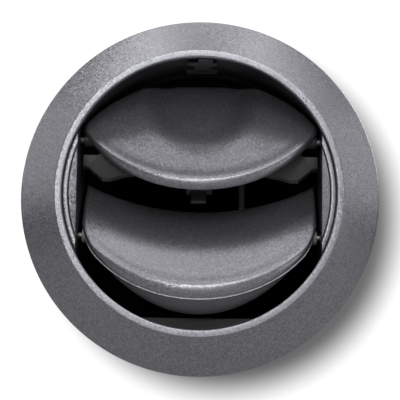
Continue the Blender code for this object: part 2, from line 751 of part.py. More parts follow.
def add_bosses(bm, half):
    """Pivot bosses at both sides, in the flap's own frame."""
    for side in (-1, 1):
        low, high = sorted((side * (half - BOSS_LENGTH), side * half))
        add_prism(bm, circle(BOSS_RADIUS, (0.0, 0.0)), "X", low, high)


def add_crank(bm, root):
    """Crank plate behind the flap, with a round end about the crank pin."""
    half = CRANK_WIDTH / 2
    tip = [Vector((CRANK_LENGTH + half * math.sin(math.pi * k / 6), half * math.cos(math.pi * k / 6)))
           for k in range(7)]
    outline = [(root, half)] + tip + [(root, -half)]
    add_prism(bm, outline, "X", CRANK_X, CRANK_X + CRANK_THICKNESS)


def bore_flap(pan, name):
    bm = bmesh.new()
    reach = FLAP_HALF + GAP
    for side in (-1, 1):
        low, high = sorted((side * (FLAP_HALF - BOSS_LENGTH + BOSS_FLOOR), side * reach))
        add_prism(bm, circle(PIN_RADIUS + GAP, (0.0, 0.0), 12), "X", low, high)
    low, high = CRANK_X - GAP, CRANK_X + CRANK_THICKNESS + GAP
    add_prism(bm, circle(CRANK_PIN_RADIUS + GAP, (CRANK_LENGTH, 0.0), 10), "X", low, high)
    combine(pan, bm, name, "DIFFERENCE")


def add_side_ears(bm):
    """Leaning side plates that close the corners between the two flaps."""
    corners = [(-EAR_REACH, EAR_TOP), *EAR_CORNERS, (-EAR_REACH, EAR_FOOT)]
    outline = [(FLAP_HALF - inset, -drop) for inset, drop in corners]
    for side in (-1, 1):
        add_prism(bm, [(side * x, z) for x, z in outline], "Y", EAR_FRONT, EAR_FRONT + EAR_PLATE)
    for vert in bm.verts:
        vert.co.y -= EAR_LEAN * vert.co.z


def add_centre_tab(pan):
    """Shelf behind the upper flap at its middle, and a narrower stem that hangs from the shelf's end."""
    shelf = bmesh.new()
    add_prism(shelf, stacked(0.0, [(SHELF_CENTRE, SHELF_WIDTH, SHELF_REACH)]), "Z",
              -SHELF_DROP, SHELF_THICKNESS - SHELF_DROP)
    combine(pan, shelf, "upper_pan_shelf", "UNION")
    stem = bmesh.new()
    length = STEM_DROP - SHELF_DROP + STEM_SINK
    add_prism(stem, stacked(-STEM_DROP, [(STEM_CENTRE, STEM_WIDTH, length)]), "Y",
              SHELF_REACH - STEM_THICKNESS, SHELF_REACH - STEM_SETBACK)
    combine(pan, stem, "upper_pan_stem", "UNION")


def make_upper_flap(paint, dark, metal):
    frame = flap_frame("upper_flap_frame", UPPER_PIVOT)
    flap = Flap("upper", UPPER_PIVOT, upper_bottom, upper_top, upper_face, UPPER_LIP_RADIUS)
    make_shell(flap, frame, paint)
    half = FLAP_HALF - UPPER_PAN_INSET

    def bottom(x):
        return upper_bottom(x) + UPPER_PAN_INSET

    def top(x):
        high = min(upper_top(x) - UPPER_PAN_INSET, UPPER_FLAT - UPPER_PAN_TOP)
        return max(high, bottom(x) + UPPER_PAN_HEIGHT)

    def depth(x, _):
        return UPPER_PAN_DEPTH * (1 - UPPER_PAN_FLATTEN * (x / half) ** 2)

    pan = make_pan(flap, frame, bottom, top, depth, UPPER_PAN_RAMP, half, dark)
    extras = bmesh.new()
    add_bosses(extras, FLAP_HALF)
    add_crank(extras, UPPER_CRANK_ROOT)
    combine(pan, extras, "upper_pan_bosses", "UNION")
    ears = bmesh.new()
    add_side_ears(ears)
    combine(pan, ears, "upper_pan_ears", "UNION")
    add_centre_tab(pan)
    bore_flap(pan, "upper_pan_bores")
    make_pins("upper", frame, metal)
    return frame


def make_lower_flap(paint, dark, metal):
    frame = flap_frame("lower_flap_frame", -LOWER_PIVOT)
    flap = Flap("lower", -LOWER_PIVOT, lower_bottom, lower_top, lower_face, LOWER_LIP_RADIUS)
    make_shell(flap, frame, paint)
    half = FLAP_HALF - LOWER_PAN_INSET

    def bottom(x):
        return lower_bottom(x) + LOWER_PAN_INSET

    def top(_):
        return -LOWER_PIVOT + LOWER_PAN_TOP

    def depth(x, z):
        back = smooth_step((z + LOWER_PIVOT + LOWER_PAN_DEEP) / (LOWER_PAN_DEEP + LOWER_PAN_SHALLOW))
        return LOWER_PAN_DEPTH * (1 - LOWER_PAN_FLATTEN * back) * (1 - (x / half) ** 2)

    pan = make_pan(flap, frame, bottom, top, depth, LOWER_PAN_RAMP, half, dark)
    extras = bmesh.new()
    add_bosses(extras, FLAP_HALF)
    add_crank(extras, LOWER_CRANK_ROOT)
    combine(pan, extras, "lower_pan_bosses", "UNION")
    bore_flap(pan, "lower_pan_bores")
    make_pins("lower", frame, metal)
    return frame


def make_pins(flap, frame, metal):
    for name, side in (("left", -1), ("right", 1)):
        inner = FLAP_HALF - BOSS_LENGTH + BOSS_FLOOR + GAP
        low, high = sorted((side * inner, side * (CHEEK_X + PIN_ENGAGE)))
        pin = prism(f"{flap}_pin_{name}", circle(PIN_RADIUS, (0.0, 0.0), 12), "X", low, high, metal)
        pin.parent = frame
    low = CRANK_X - CRANK_PIN_END
    high = CRANK_X + CRANK_THICKNESS + GAP + LINK_THICKNESS + CRANK_PIN_END
    pin = prism(f"{flap}_crank_pin", circle(CRANK_PIN_RADIUS, (CRANK_LENGTH, 0.0), 10), "X", low, high, metal)
    pin.parent = frame


def make_link(finish):
    """Upright bar between the two crank pins, with an eye at each end."""
    crank_y = PIVOT_Y + CRANK_LENGTH * math.cos(FLAP_ANGLE)
    drop = CRANK_LENGTH * math.sin(FLAP_ANGLE)
    high, low = UPPER_PIVOT - drop, -LOWER_PIVOT - drop
    frame = bpy.data.objects.new("link_frame", None)
    frame.location = (0.0, crank_y, high)
    bpy.context.scene.collection.objects.link(frame)
    half = LINK_WIDTH / 2
    end = [Vector((half * math.cos(math.pi * k / 6), half * math.sin(math.pi * k / 6))) for k in range(7)]
    outline = end + [Vector((-p[0], low - high - p[1])) for p in end]
    start = CRANK_X + CRANK_THICKNESS + GAP
    link = prism("coupling_link", outline, "X", start, start + LINK_THICKNESS, finish)
    link.parent = frame
    bm = bmesh.new()
    for height in (0.0, low - high):
        add_prism(bm, circle(CRANK_PIN_RADIUS + GAP, (0.0, height), 10), "X", start - GAP,
                  start + LINK_THICKNESS + GAP)
    combine(link, bm, "link_eyes", "DIFFERENCE")


def main():
    for old in list(bpy.data.objects):
        bpy.data.objects.remove(old, do_unlink=True)
    paint = material("metallic_grey_paint", (0.26, 0.26, 0.275), 0.42, 0.35)
    black = material("black_abs", (0.012, 0.012, 0.013), 0.5)
    dark = material("dark_grey_abs", (0.035, 0.035, 0.037), 0.45)
    foam = material("black_foam", (0.02, 0.02, 0.02), 0.95)
    felt = material("grey_felt", (0.08, 0.08, 0.08), 1.0)
    steel = material("spring_steel", (0.45, 0.45, 0.46), 0.3, 1.0)
    rubber = material("silicone_rubber", (0.015, 0.015, 0.016), 0.7)
    make_bezel(paint)
    make_collar(black)
    make_barrel(black)
    make_inlet_collar(black)
    make_seals(foam, felt)
    for index in range(SCREW_COUNT):
        make_screw(index, steel)
    for index in range(CLIP_COUNT):
        make_clip(index, steel)
    make_drum(black)
    make_index_clip(dark)
    make_cheek_faces(paint)
    make_bushes(rubber)
    make_upper_flap(paint, dark, steel)
    make_lower_flap(paint, dark, steel)
    make_link(dark)
    bpy.context.view_layer.update()


main()
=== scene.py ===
"""Dresses a round dashboard air vent in its surfaces and finishes.

Metres, +Z up. The vent's axis is Y, its face looks along -Y, and +X is to the right.
Laid out as an add-on, run as a script: main() calls one operator for each group of pieces.
"""
import math

import bmesh
import bpy
import numpy as np
from bpy.props import FloatProperty, FloatVectorProperty, IntProperty, PointerProperty
from bpy.types import Operator
from mathutils import Matrix, Vector


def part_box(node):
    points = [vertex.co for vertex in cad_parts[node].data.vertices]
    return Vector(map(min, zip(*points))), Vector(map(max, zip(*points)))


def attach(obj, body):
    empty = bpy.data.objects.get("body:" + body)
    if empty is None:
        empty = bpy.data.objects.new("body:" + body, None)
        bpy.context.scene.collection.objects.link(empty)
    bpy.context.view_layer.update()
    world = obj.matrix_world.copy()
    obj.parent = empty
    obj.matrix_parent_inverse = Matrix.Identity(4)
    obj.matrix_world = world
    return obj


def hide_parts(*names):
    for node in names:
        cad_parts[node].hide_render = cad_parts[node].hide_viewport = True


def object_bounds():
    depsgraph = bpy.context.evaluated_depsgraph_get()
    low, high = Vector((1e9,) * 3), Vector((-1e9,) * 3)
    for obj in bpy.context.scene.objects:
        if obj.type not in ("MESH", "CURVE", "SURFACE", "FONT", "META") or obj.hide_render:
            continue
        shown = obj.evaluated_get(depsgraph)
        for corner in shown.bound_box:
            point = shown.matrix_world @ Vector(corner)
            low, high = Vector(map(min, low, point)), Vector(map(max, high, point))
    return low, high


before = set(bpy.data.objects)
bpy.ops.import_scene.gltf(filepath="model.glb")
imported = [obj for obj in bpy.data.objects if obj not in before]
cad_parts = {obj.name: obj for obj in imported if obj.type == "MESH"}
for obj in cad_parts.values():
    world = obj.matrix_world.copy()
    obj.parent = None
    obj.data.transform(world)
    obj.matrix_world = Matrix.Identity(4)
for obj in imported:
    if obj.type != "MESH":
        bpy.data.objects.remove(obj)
CAD_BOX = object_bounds()

bl_info = {
    "name": "Dashboard Air Vent",
    "version": (1, 0, 0),
    "blender": (4, 5, 0),
    "location": "3D View > Sidebar > Air Vent",
    "description": "Builds the visible surfaces and finishes of a round dashboard air vent",
    "category": "Object",
}

MM = 0.001


def box(node):
    """Lowest and highest corner of a construction node, as arrays."""
    low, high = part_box(node)
    return np.array(low), np.array(high)


# Bezel and cheeks, read from the frame
BEZEL_LOW, BEZEL_HIGH = box("bezel_ring")
CAP_LOW, CAP_HIGH = box("cheek_cap_right")
BEZEL_RADIUS = BEZEL_HIGH[0]
BEZEL_HEIGHT = -BEZEL_LOW[1]
COLLAR_END = box("retaining_collar")[1][1]
FACE_RADIUS = box("cheek_strip_right")[1][0]
CAP_RADIUS = CAP_HIGH[0]
CHEEK_X = CAP_LOW[0]
CAP_FRONT = CAP_LOW[1]
CAP_BACK = CAP_HIGH[1]
BEZEL_EDGE = 2.2 * MM
BEZEL_WALL = 1.8 * MM
SEAT_WIDTH = 2.2 * MM
RIM_INNER = 41.35 * MM
RIM_OUTER = 43.5 * MM
RIM_LIP = 2.0 * MM
STRIP_WIDTH = 1.4 * MM
COLLAR_INNER = 44.1 * MM
COLLAR_OUTER = 45.5 * MM
RIB_COUNT = 12
RIB_THICKNESS = 1.2 * MM
RIB_SETBACK = 1.6 * MM

# Barrel, seals and clips
BARREL_OUTER = 47.4 * MM
GAP = 0.3 * MM
RUN_GAP = 0.4 * MM
SCREW_COUNT = 4
SCREW_RADIUS = 1.3 * MM
SCREW_HEAD = 2.6 * MM
SCREW_HEAD_HEIGHT = 1.7 * MM
SCREW_SHANK = 6.5 * MM
RECESS_DEPTH = 0.9 * MM
RECESS_REACH = 1.5 * MM
RECESS_ARM = 0.42 * MM
CLIP_COUNT = 4
CLIP_WIDTH = 9.0 * MM
CLIP_THICKNESS = 0.8 * MM
CLIP_START = 1.6 * MM
CLIP_LENGTH = 16.0 * MM
CLIP_BOW = 2.4 * MM
CLIP_FLAT = 0.19
CLIP_PEAK = 0.6

# Flaps, given as they stand closed
FLAP_HALF = box("upper_flap_shell")[1][0]
FLAP_ANGLE = math.radians(31.0)
PIVOT_Y = -1.0 * MM
UPPER_PIVOT = 17.4 * MM
LOWER_PIVOT = -12.4 * MM
FACE_OFFSET = 4.2 * MM
SHELL_WALL = 1.4 * MM
UPPER_LIP_RADIUS = 2.4 * MM
LOWER_LIP_RADIUS = 3.1 * MM
FLAP_RADIUS = 41.0 * MM
TIP_LIP = 18.3 * MM
UPPER_LIP = 3.6 * MM
UPPER_FLAT = 40.3 * MM
LOWER_LIP = 36.6 * MM
LOWER_REAR = 1.4 * MM
LOWER_CORNER = 15.0 * MM
CORNER_START = 0.86
CORNER_RISE = 5.0 * MM
REAR_RISE = 11.0 * MM
REAR_DROP = 5.2 * MM
REAR_SHARE = 0.62
DISH_DEPTH = 0.8 * MM
DISH_START = 16.0 * MM
SCOOP_WIDTH = 18.0 * MM
SCOOP_LENGTH = 26.5 * MM
SCOOP_DEPTH = 1.2 * MM
SCOOP_FALL = 2.2 * MM
SCOOP_INSET = 5.0 * MM
SCOOP_EDGE = 8.0 * MM
BEAD_HEIGHT = 0.45 * MM
BEAD_SPREAD = 2.4 * MM
FOOT_DROP = 0.4 * MM
FOOT_WIDTH = 0.6 * MM

# Backs of the flaps and the coupling
PAN_WALL = 1.3 * MM
UPPER_PAN_DEPTH = 5.6 * MM
LOWER_PAN_DEPTH = 13.0 * MM
UPPER_PAN_INSET = 3.2 * MM
LOWER_PAN_INSET = 1.3 * MM
UPPER_PAN_RAMP = 6.0 * MM
LOWER_PAN_RAMP = 1.6 * MM
BOSS_RADIUS = 2.2 * MM
BOSS_LENGTH = 4.5 * MM
CRANK_LENGTH = 17.0 * MM
CRANK_WIDTH = 4.4 * MM
CRANK_X = 10.2 * MM
CRANK_THICKNESS = 1.6 * MM
EAR_PLATE = 1.6 * MM
EAR_FRONT = -0.3 * MM
EAR_LEAN = 0.77
BUSH_WALL = 0.9 * MM


def linear(text):
    """Linear colour of an sRGB hex value."""
    parts = np.array([int(text[k:k + 2], 16) for k in (1, 3, 5)]) / 255
    return tuple(np.where(parts <= 0.04045, parts / 12.92, ((parts + 0.055) / 1.055) ** 2.4).tolist())


# Sizes and colours that a user would change


def colour(name, description, text):
    """Colour property whose default is an sRGB hex value."""
    return FloatVectorProperty(name=name, description=description, subtype="COLOR", min=0, max=1,
                               default=linear(text))


def length(name, description, value):
    """Length property, in metres."""
    return FloatProperty(name=name, description=description, default=value, min=0, unit="LENGTH")


class VENT_PG_sizes(bpy.types.PropertyGroup):
    """Sizes of the surfaces and their patterns."""

    around: IntProperty(name="Steps around", description="Faces in one turn of a round piece", default=240,
                        min=24)
    edge: length("Edge radius", "Radius of the small edges on moulded pieces", 0.25 * MM)
    soft_edge: length("Machine edge", "Bevel on the edges of drum, barrel and inlet", 0.2 * MM)
    flake: length("Flake", "Width of a metal flake in the paint, drawn coarse enough to show", 0.34 * MM)
    # Spacing of the painted glints among the paint flakes
    sparkle: length("Sparkle", "Spacing of the few flakes that flash", 0.7 * MM)
    grain: length("Mould grain", "Width of the grain on moulded plastic", 0.5 * MM)
    foam_cell: length("Foam cell", "Width of a cell in the foam", 0.7 * MM)
    fibre: length("Felt fibre", "Width of a tuft in the felt", 0.35 * MM)
    draw_line: length("Draw line", "Spacing of the lines on drawn steel", 0.2 * MM)


class VENT_PG_colours(bpy.types.PropertyGroup):
    """Colours of the finishes."""

    paint: colour("Paint", "Binder and flake of the grey paint", "#8f8f95")
    # Colour of the painted glints, mixed into a few paint flakes
    flash: colour("Flash", "Flakes that face the light", "#d8d8dc")
    black: colour("Black plastic", "Moulded black", "#18181a")
    dark: colour("Dark plastic", "Moulded dark grey", "#2b2b2e")
    mist: colour("Paint mist", "Overspray of the paint on dark plastic", "#88888d")
    foam: colour("Foam", "Open-cell foam", "#242426")
    felt: colour("Felt", "Pressed felt", "#4c4c4e")
    silicone: colour("Silicone", "Satin black silicone", "#161617")
    steel: colour("Steel", "Bright spring steel", "#b6b7b9")
    ground: colour("Ground", "Floor", "#a4a4a4")


# Materials


def fill(node, inputs):
    """Fill or link a node's input sockets. A node given as a value stands for its first output."""
    for key, value in inputs.items():
        if isinstance(value, bpy.types.Node):
            value = value.outputs[0]
        if isinstance(value, bpy.types.NodeSocket):
            node.id_data.links.new(value, node.inputs[key])
        else:
            node.inputs[key].default_value = value


def add_node(tree, kind, inputs=None, **settings):
    """Add a shader node, set its properties, and fill or link its input sockets."""
    node = tree.nodes.new(f"ShaderNode{kind}")
    for name, value in settings.items():
        setattr(node, name, value)
    fill(node, inputs or {})
    return node


def new_material(name):
    """Node tree with only a Principled shader; gives the material, its tree and the shader."""
    made = bpy.data.materials.new(name)
    made.use_nodes = True
    tree = made.node_tree
    return made, tree, tree.nodes["Principled BSDF"]


def opaque(value):
    """Colour with a full alpha."""
    return (*value, 1.0)


def place_of(tree, stretch=(1.0, 1.0, 1.0)):
    """Object coordinates, stretched along the axes where a pattern runs one way."""
    source = add_node(tree, "TexCoord").outputs["Object"]
    return add_node(tree, "Mapping", {"Vector": source, "Scale": stretch})


def metallic_flake_paint(sizes, colours):
    """Satin grey paint with aluminium flake, sprayed on moulded ABS.

    Each flake's normal leans a little askew, and its colour is painted a shade lighter or darker
    at random, which is painted shade of that tilt. A few flakes get a bright colour mixed in, as
    painted glints that shine whatever the light. The binder over them is satin.
    """
    made, tree, shader = new_material("metallic_flake_paint")
    place = place_of(tree)
    flakes = add_node(tree, "TexVoronoi", {"Vector": place, "Scale": 1 / sizes.flake})
    glint_cells = add_node(tree, "TexVoronoi", {"Vector": place, "Scale": 1 / sizes.sparkle})
    cloud = add_node(tree, "TexNoise", {"Vector": place, "Scale": 1 / (9 * MM), "Detail": 3.0})
    tint = add_node(tree, "SeparateColor", {"Color": flakes.outputs["Color"]})
    chance = add_node(tree, "SeparateColor", {"Color": glint_cells.outputs["Color"]})
    # Each flake's base colour is lighter or darker at random: painted shade of its tilt, on top of the tilted
    # normal
    shade = add_node(tree, "MapRange", {"Value": tint, "To Min": 0.76, "To Max": 1.24})
    drift = add_node(tree, "MapRange", {"Value": cloud, "To Min": 0.96, "To Max": 1.04})
    both = add_node(tree, "Math", {0: shade, 1: drift}, operation="MULTIPLY")
    body = add_node(tree, "VectorMath", {0: colours.paint, "Scale": both}, operation="SCALE")
    # Painted glints: a few flakes get the flash colour mixed into their base colour, lit or not
    rare = add_node(tree, "Math", {0: chance.outputs["Green"], 1: 0.93}, operation="GREATER_THAN")
    near = add_node(tree, "Math", {0: glint_cells, 1: 0.32}, operation="LESS_THAN")
    flash = add_node(tree, "Math", {0: rare, 1: near}, operation="MULTIPLY")
    share = add_node(tree, "Math", {0: flash, 1: 0.3}, operation="MULTIPLY")
    mix = add_node(tree, "Mix", {"Factor": share, "A": body, "B": opaque(colours.flash)}, data_type="RGBA")
    tilt = add_node(tree, "VectorMath", {0: flakes.outputs["Color"], 1: (0.5,) * 3}, operation="SUBTRACT")
    lean = add_node(tree, "VectorMath", {0: tilt, "Scale": 0.14}, operation="SCALE")
    level = add_node(tree, "NewGeometry").outputs["Normal"]
    askew = add_node(tree, "VectorMath", {0: level, 1: lean}, operation="ADD")
    turned = add_node(tree, "VectorMath", {0: askew}, operation="NORMALIZE")
    gloss = add_node(tree, "MapRange", {"Value": tint.outputs["Blue"], "To Min": 0.28, "To Max": 0.4})
    fill(shader, {"Base Color": mix.outputs["Result"], "Normal": turned, "Roughness": gloss, "Metallic": 0.8,
                  "Coat Weight": 0.3, "Coat Roughness": 0.25, "IOR": 1.5})
    return made


def moulded_plastic(name, base, grain, roughness, depth):
    """Plastic or rubber from a spark-eroded mould: a fine pebbled grain that breaks up the sheen."""
    made, tree, shader = new_material(name)
    place = place_of(tree)
    pebble = add_node(tree, "TexNoise", {"Vector": place, "Scale": 1 / grain, "Detail": 2.0})
    cloud = add_node(tree, "TexNoise", {"Vector": place, "Scale": 1 / (12 * MM), "Detail": 3.0})
    bump = add_node(tree, "Bump", {"Height": pebble, "Strength": 0.35, "Distance": depth})
    gloss = add_node(tree, "MapRange", {"Value": cloud, "To Min": roughness - 0.05,
                                        "To Max": roughness + 0.06})
    drift = add_node(tree, "MapRange", {"Value": cloud, "To Min": 0.9, "To Max": 1.1})
    body = add_node(tree, "VectorMath", {0: base, "Scale": drift}, operation="SCALE")
    fill(shader, {"Base Color": body, "Normal": bump, "Roughness": gloss, "IOR": 1.53})
    return made


def black_moulded_abs(sizes, colours):
    """Black ABS with a fine grain: barrel, inlet and drum read as matt black."""
    return moulded_plastic("black_moulded_abs", colours.black, sizes.grain, 0.5, 0.05 * MM)


def dark_grey_moulded_abs(sizes, colours):
    """Dark grey ABS from a nearly smooth mould: a soft sheen with hardly any grain."""
    return moulded_plastic("dark_grey_moulded_abs", colours.dark, sizes.grain, 0.42, 0.02 * MM)


def oversprayed_abs(sizes, colours):
    """Dark ABS that the spray of the face has reached: a dull grey mist without its flake."""
    return moulded_plastic("oversprayed_abs", colours.mist, sizes.grain, 0.5, 0.02 * MM)


def moulded_silicone(sizes, colours):
    """Compression-moulded silicone: satin black, dulled in patches."""
    return moulded_plastic("moulded_silicone", colours.silicone, sizes.grain, 0.58, 0.03 * MM)


def open_cell_foam(sizes, colours):
    """Polyurethane foam, cut: pores painted darker than the cell walls as painted shade, and no gloss."""
    made, tree, shader = new_material("open_cell_foam")
    cells = add_node(tree, "TexVoronoi", {"Vector": place_of(tree), "Scale": 1 / sizes.foam_cell})
    # Painted shade: base colour darker towards each cell's middle, where the pores are
    shade = add_node(tree, "MapRange", {"Value": cells, "To Min": 0.35, "To Max": 1.5})
    body = add_node(tree, "VectorMath", {0: colours.foam, "Scale": shade}, operation="SCALE")
    bump = add_node(tree, "Bump", {"Height": cells, "Strength": 0.8, "Distance": 0.2 * MM})
    fill(shader, {"Base Color": body, "Normal": bump, "Roughness": 0.95})
    return made


def pressed_felt(sizes, colours):
    """Needled wool felt: tufts of fibre mottle it, and a faint sheen lies on their ends."""
    made, tree, shader = new_material("pressed_felt")
    tufts = add_node(tree, "TexNoise", {"Vector": place_of(tree), "Scale": 1 / sizes.fibre, "Detail": 4.0,
                                        "Distortion": 1.2})
    shade = add_node(tree, "MapRange", {"Value": tufts, "To Min": 0.5, "To Max": 1.5})
    body = add_node(tree, "VectorMath", {0: colours.felt, "Scale": shade}, operation="SCALE")
    bump = add_node(tree, "Bump", {"Height": tufts, "Strength": 0.7, "Distance": 0.12 * MM})
    fill(shader, {"Base Color": body, "Normal": bump, "Roughness": 1.0, "Sheen Weight": 0.3})
    return made


def drawn_steel(sizes, colours):
    """Bright drawn spring steel: fine lines along the vent's axis smear its highlights."""
    made, tree, shader = new_material("drawn_steel")
    place = place_of(tree, (1.0, 0.06, 1.0))
    lines = add_node(tree, "TexNoise", {"Vector": place, "Scale": 1 / sizes.draw_line, "Detail": 2.0})
    shade = add_node(tree, "MapRange", {"Value": lines, "To Min": 0.85, "To Max": 1.1})
    body = add_node(tree, "VectorMath", {0: colours.steel, "Scale": shade}, operation="SCALE")
    gloss = add_node(tree, "MapRange", {"Value": lines, "To Min": 0.22, "To Max": 0.4})
    bump = add_node(tree, "Bump", {"Height": lines, "Strength": 0.2, "Distance": 0.01 * MM})
    fill(shader, {"Base Color": body, "Roughness": gloss, "Normal": bump, "Metallic": 1.0})
    return made


FINISHES = {
    "grey_paint": metallic_flake_paint,
    "black_plastic": black_moulded_abs,
    "dark_plastic": dark_grey_moulded_abs,
    "foam": open_cell_foam,
    "felt": pressed_felt,
    "silicone": moulded_silicone,
    "steel": drawn_steel,
}


def finish(slot):
    """Material of a slot, made the first time it is asked for."""
    made = bpy.data.materials.get(FINISHES[slot].__name__)
    if made is None:
        made = FINISHES[slot](bpy.context.scene.vent_sizes, bpy.context.scene.vent_colours)
    return made


# Meshes


def grid_faces(rows, columns, ring_rows=False, ring_columns=False):
    """Quads of a grid of points: each joins a point to its next row, the next column there, and back."""
    index = np.arange(rows * columns).reshape(rows, columns)
    if ring_rows:
        index = np.vstack([index, index[:1]])
    if ring_columns:
        index = np.hstack([index, index[:, :1]])
    return np.stack([index[:-1, :-1], index[1:, :-1], index[1:, 1:], index[:-1, 1:]], axis=-1).reshape(-1, 4)


def tube_faces(rows, columns):
    """Faces of a tube of closed rings, with its two ends filled."""
    first = list(range(columns))
    last = list(range((rows - 1) * columns, rows * columns))
    return [list(face) for face in grid_faces(rows, columns, False, True)] + [first, last[::-1]]


def outward_mesh(name, points, faces):
    """Closed mesh with its doubles merged; turned round if its volume comes out negative."""
    mesh = bpy.data.meshes.new(name)
    mesh.from_pydata(points.tolist(), [], [list(face) for face in faces])
    bm = bmesh.new()
    bm.from_mesh(mesh)
    bmesh.ops.remove_doubles(bm, verts=bm.verts, dist=1e-7)
    if bm.calc_volume(signed=True) < 0:
        bmesh.ops.reverse_faces(bm, faces=bm.faces)
    bm.to_mesh(mesh)
    bm.free()
    return mesh


def add_piece(name, shells, slot, body, node, sharp=35.0):
    """Object made of closed shells, each (points, faces), that rides on a body and stands for a node."""
    whole = bmesh.new()
    for points, faces in shells:
        mesh = outward_mesh(name, points, faces)
        whole.from_mesh(mesh)
        bpy.data.meshes.remove(mesh)
    if not whole.faces:
        raise RuntimeError(f"{name} came out empty")
    mesh = bpy.data.meshes.new(name)
    whole.to_mesh(mesh)
    whole.free()
    return settle(name, mesh, slot, body, node, sharp)


def add_object(name, data):
    """New object in the scene that shows a mesh, or holds a lamp or a camera."""
    made = bpy.data.objects.new(name, data)
    bpy.context.scene.collection.objects.link(made)
    return made


def settle(name, mesh, slot, body, node, sharp=35.0):
    """Shade a mesh, give it its finish, and put it on its body in place of its node."""
    mesh.shade_smooth()
    mesh.set_sharp_from_angle(angle=math.radians(sharp))
    mesh.materials.append(finish(slot))
    made = add_object(name, mesh)
    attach(made, body)
    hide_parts(node)
    return made


def softened(node, slot, body, width=None):
    """Copy of a construction node: triangles merged, flat faces joined, and its sharp edges bevelled."""
    bm = bmesh.new()
    bm.from_mesh(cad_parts[node].data)
    bmesh.ops.remove_doubles(bm, verts=bm.verts, dist=1e-6)
    bmesh.ops.dissolve_limit(bm, angle_limit=math.radians(0.5), verts=bm.verts, edges=bm.edges)
    mesh = bpy.data.meshes.new(f"{node}_finished")
    bm.to_mesh(mesh)
    bm.free()
    made = settle(f"{node}_finished", mesh, slot, body, node)
    bevel = made.modifiers.new("edges", "BEVEL")
    bevel.width = width or bpy.context.scene.vent_sizes.soft_edge
    bevel.segments = 2
    bevel.limit_method = "ANGLE"
    bevel.angle_limit = math.radians(42.0)
    bevel.harden_normals = True


def unit(vector):
    """Vector of length 1 in the same direction."""
    return vector / np.linalg.norm(vector)


def rounded(corners, steps=6):
    """Closed outline through corners (a, b, radius).

    A corner with a radius becomes an arc that touches both its sides: the start and end arms from
    the arc's centre are blended by the sines of their share of the angle between them.
    """
    places = np.array([corner[:2] for corner in corners], float)
    outline = []
    for k, (here, radius) in enumerate(zip(places, [corner[2] for corner in corners])):
        if radius <= 0:
            outline.append(here[None])
            continue
        before = unit(places[k - 1] - here)
        after = unit(places[(k + 1) % len(places)] - here)
        half = math.acos(before @ after) / 2
        centre = here + unit(before + after) * radius / math.sin(half)
        start = here + before * radius / math.tan(half) - centre
        end = here + after * radius / math.tan(half) - centre
        angle = math.pi - 2 * half
        share = np.linspace(0, 1, steps + 1)[:, None]
        bend = np.sin((1 - share) * angle) * start + np.sin(share * angle) * end
        outline.append(centre + bend / math.sin(angle))
    return np.vstack(outline)


def rectangle(low, high, edge, steps):
    """Outline of the rectangle between two corners, its own corners rounded."""
    corners = [(low[0], low[1]), (high[0], low[1]), (high[0], high[1]), (low[0], high[1])]
    return rounded([(a, b, edge) for a, b in corners], steps)


def round_axis(radius, depth, turn):
    """Points (radius cos t, depth, radius sin t) round the vent's axis, for the angles t."""
    return np.stack([radius * np.cos(turn), depth + 0 * turn, radius * np.sin(turn)], axis=-1)


def lathe(profile, closed=True, steps=None):
    """Shell of a profile of (radius, depth) points carried through a full turn round the vent's axis."""
    steps = steps or bpy.context.scene.vent_sizes.around
    turn = np.linspace(0, 2 * np.pi, steps, endpoint=False)[:, None]
    radius, depth = np.asarray(profile).T
    return round_axis(radius, depth, turn).reshape(-1, 3), grid_faces(steps, len(radius), True, closed)


def moved(shell, matrix):
    """Shell with its points turned and shifted by a matrix."""
    points, faces = shell
    table = np.array(matrix)
    return points @ table[:3, :3].T + table[:3, 3], faces


def shrunk(outline, distance):
    """Outline shifted inwards: each point moves along the mean of its two sides' inward normals."""
    side = np.roll(outline, -1, axis=0) - outline
    side /= np.linalg.norm(side, axis=1)[:, None]
    normal = np.stack([-side[:, 1], side[:, 0]], axis=1)
    mean = normal + np.roll(normal, 1, axis=0)
    mean /= np.maximum((mean ** 2).sum(axis=1), 1.2)[:, None] / 2
    return outline + distance * mean


def bar(outline, axis, low, high, edge=None, steps=3):
    """Shell of an outline carried along an axis from low to high, its two ends rounded off.

    Near an end the ring lies at edge (1 - sin a) from it, drawn in by edge (1 - cos a).
    Outline points are (y, z) along X, (x, z) along Y and (x, y) along Z.
    """
    edge = bpy.context.scene.vent_sizes.edge if edge is None else edge
    outline = np.asarray(outline, float)
    area = np.cross(outline, np.roll(outline, -1, axis=0)).sum()
    outline = outline if area > 0 else outline[::-1]
    angle = np.linspace(np.pi / 2, 0, steps + 1)
    near, drawn = edge * (1 - np.sin(angle)), edge * (1 - np.cos(angle))
    stations = np.concatenate([low + near, (high - near)[::-1]])
    rings = np.stack([shrunk(outline, d) for d in np.concatenate([drawn, drawn[::-1]])])
    along = np.broadcast_to(stations[:, None], rings.shape[:2])
    points = np.insert(rings, "XYZ".index(axis), along, axis=-1)
    return points.reshape(-1, 3), tube_faces(len(stations), len(outline))


def arc(radius, turn):
    """Points (radius cos t, radius sin t) for the angles t."""
    return np.stack([radius * np.cos(turn), radius * np.sin(turn)], axis=1)


def circle(radius, sides=40):
    """Closed outline of an arc through a full turn."""
    return arc(radius, np.linspace(0, 2 * np.pi, sides, endpoint=False))


def about_axis(angle):
    """Turn about the vent's axis."""
    return Matrix.Rotation(angle, 4, "Y")


def along_x(low, high):
    """Matrix that lays what was turned about Y along X, on the middle line of a box."""
    centre = (low + high) / 2
    return Matrix.Translation((0, centre[1], centre[2])) @ Matrix.Rotation(-math.pi / 2, 4, "Z")


# Fixed pieces


def under_cone(radius):
    """Depth of the underside of the bezel's cone at a radius."""
    slope = (BEZEL_HEIGHT - BEZEL_EDGE) / (BEZEL_RADIUS - RIM_OUTER)
    return -BEZEL_HEIGHT + (radius - RIM_OUTER) * slope + BEZEL_WALL * math.hypot(1, slope)


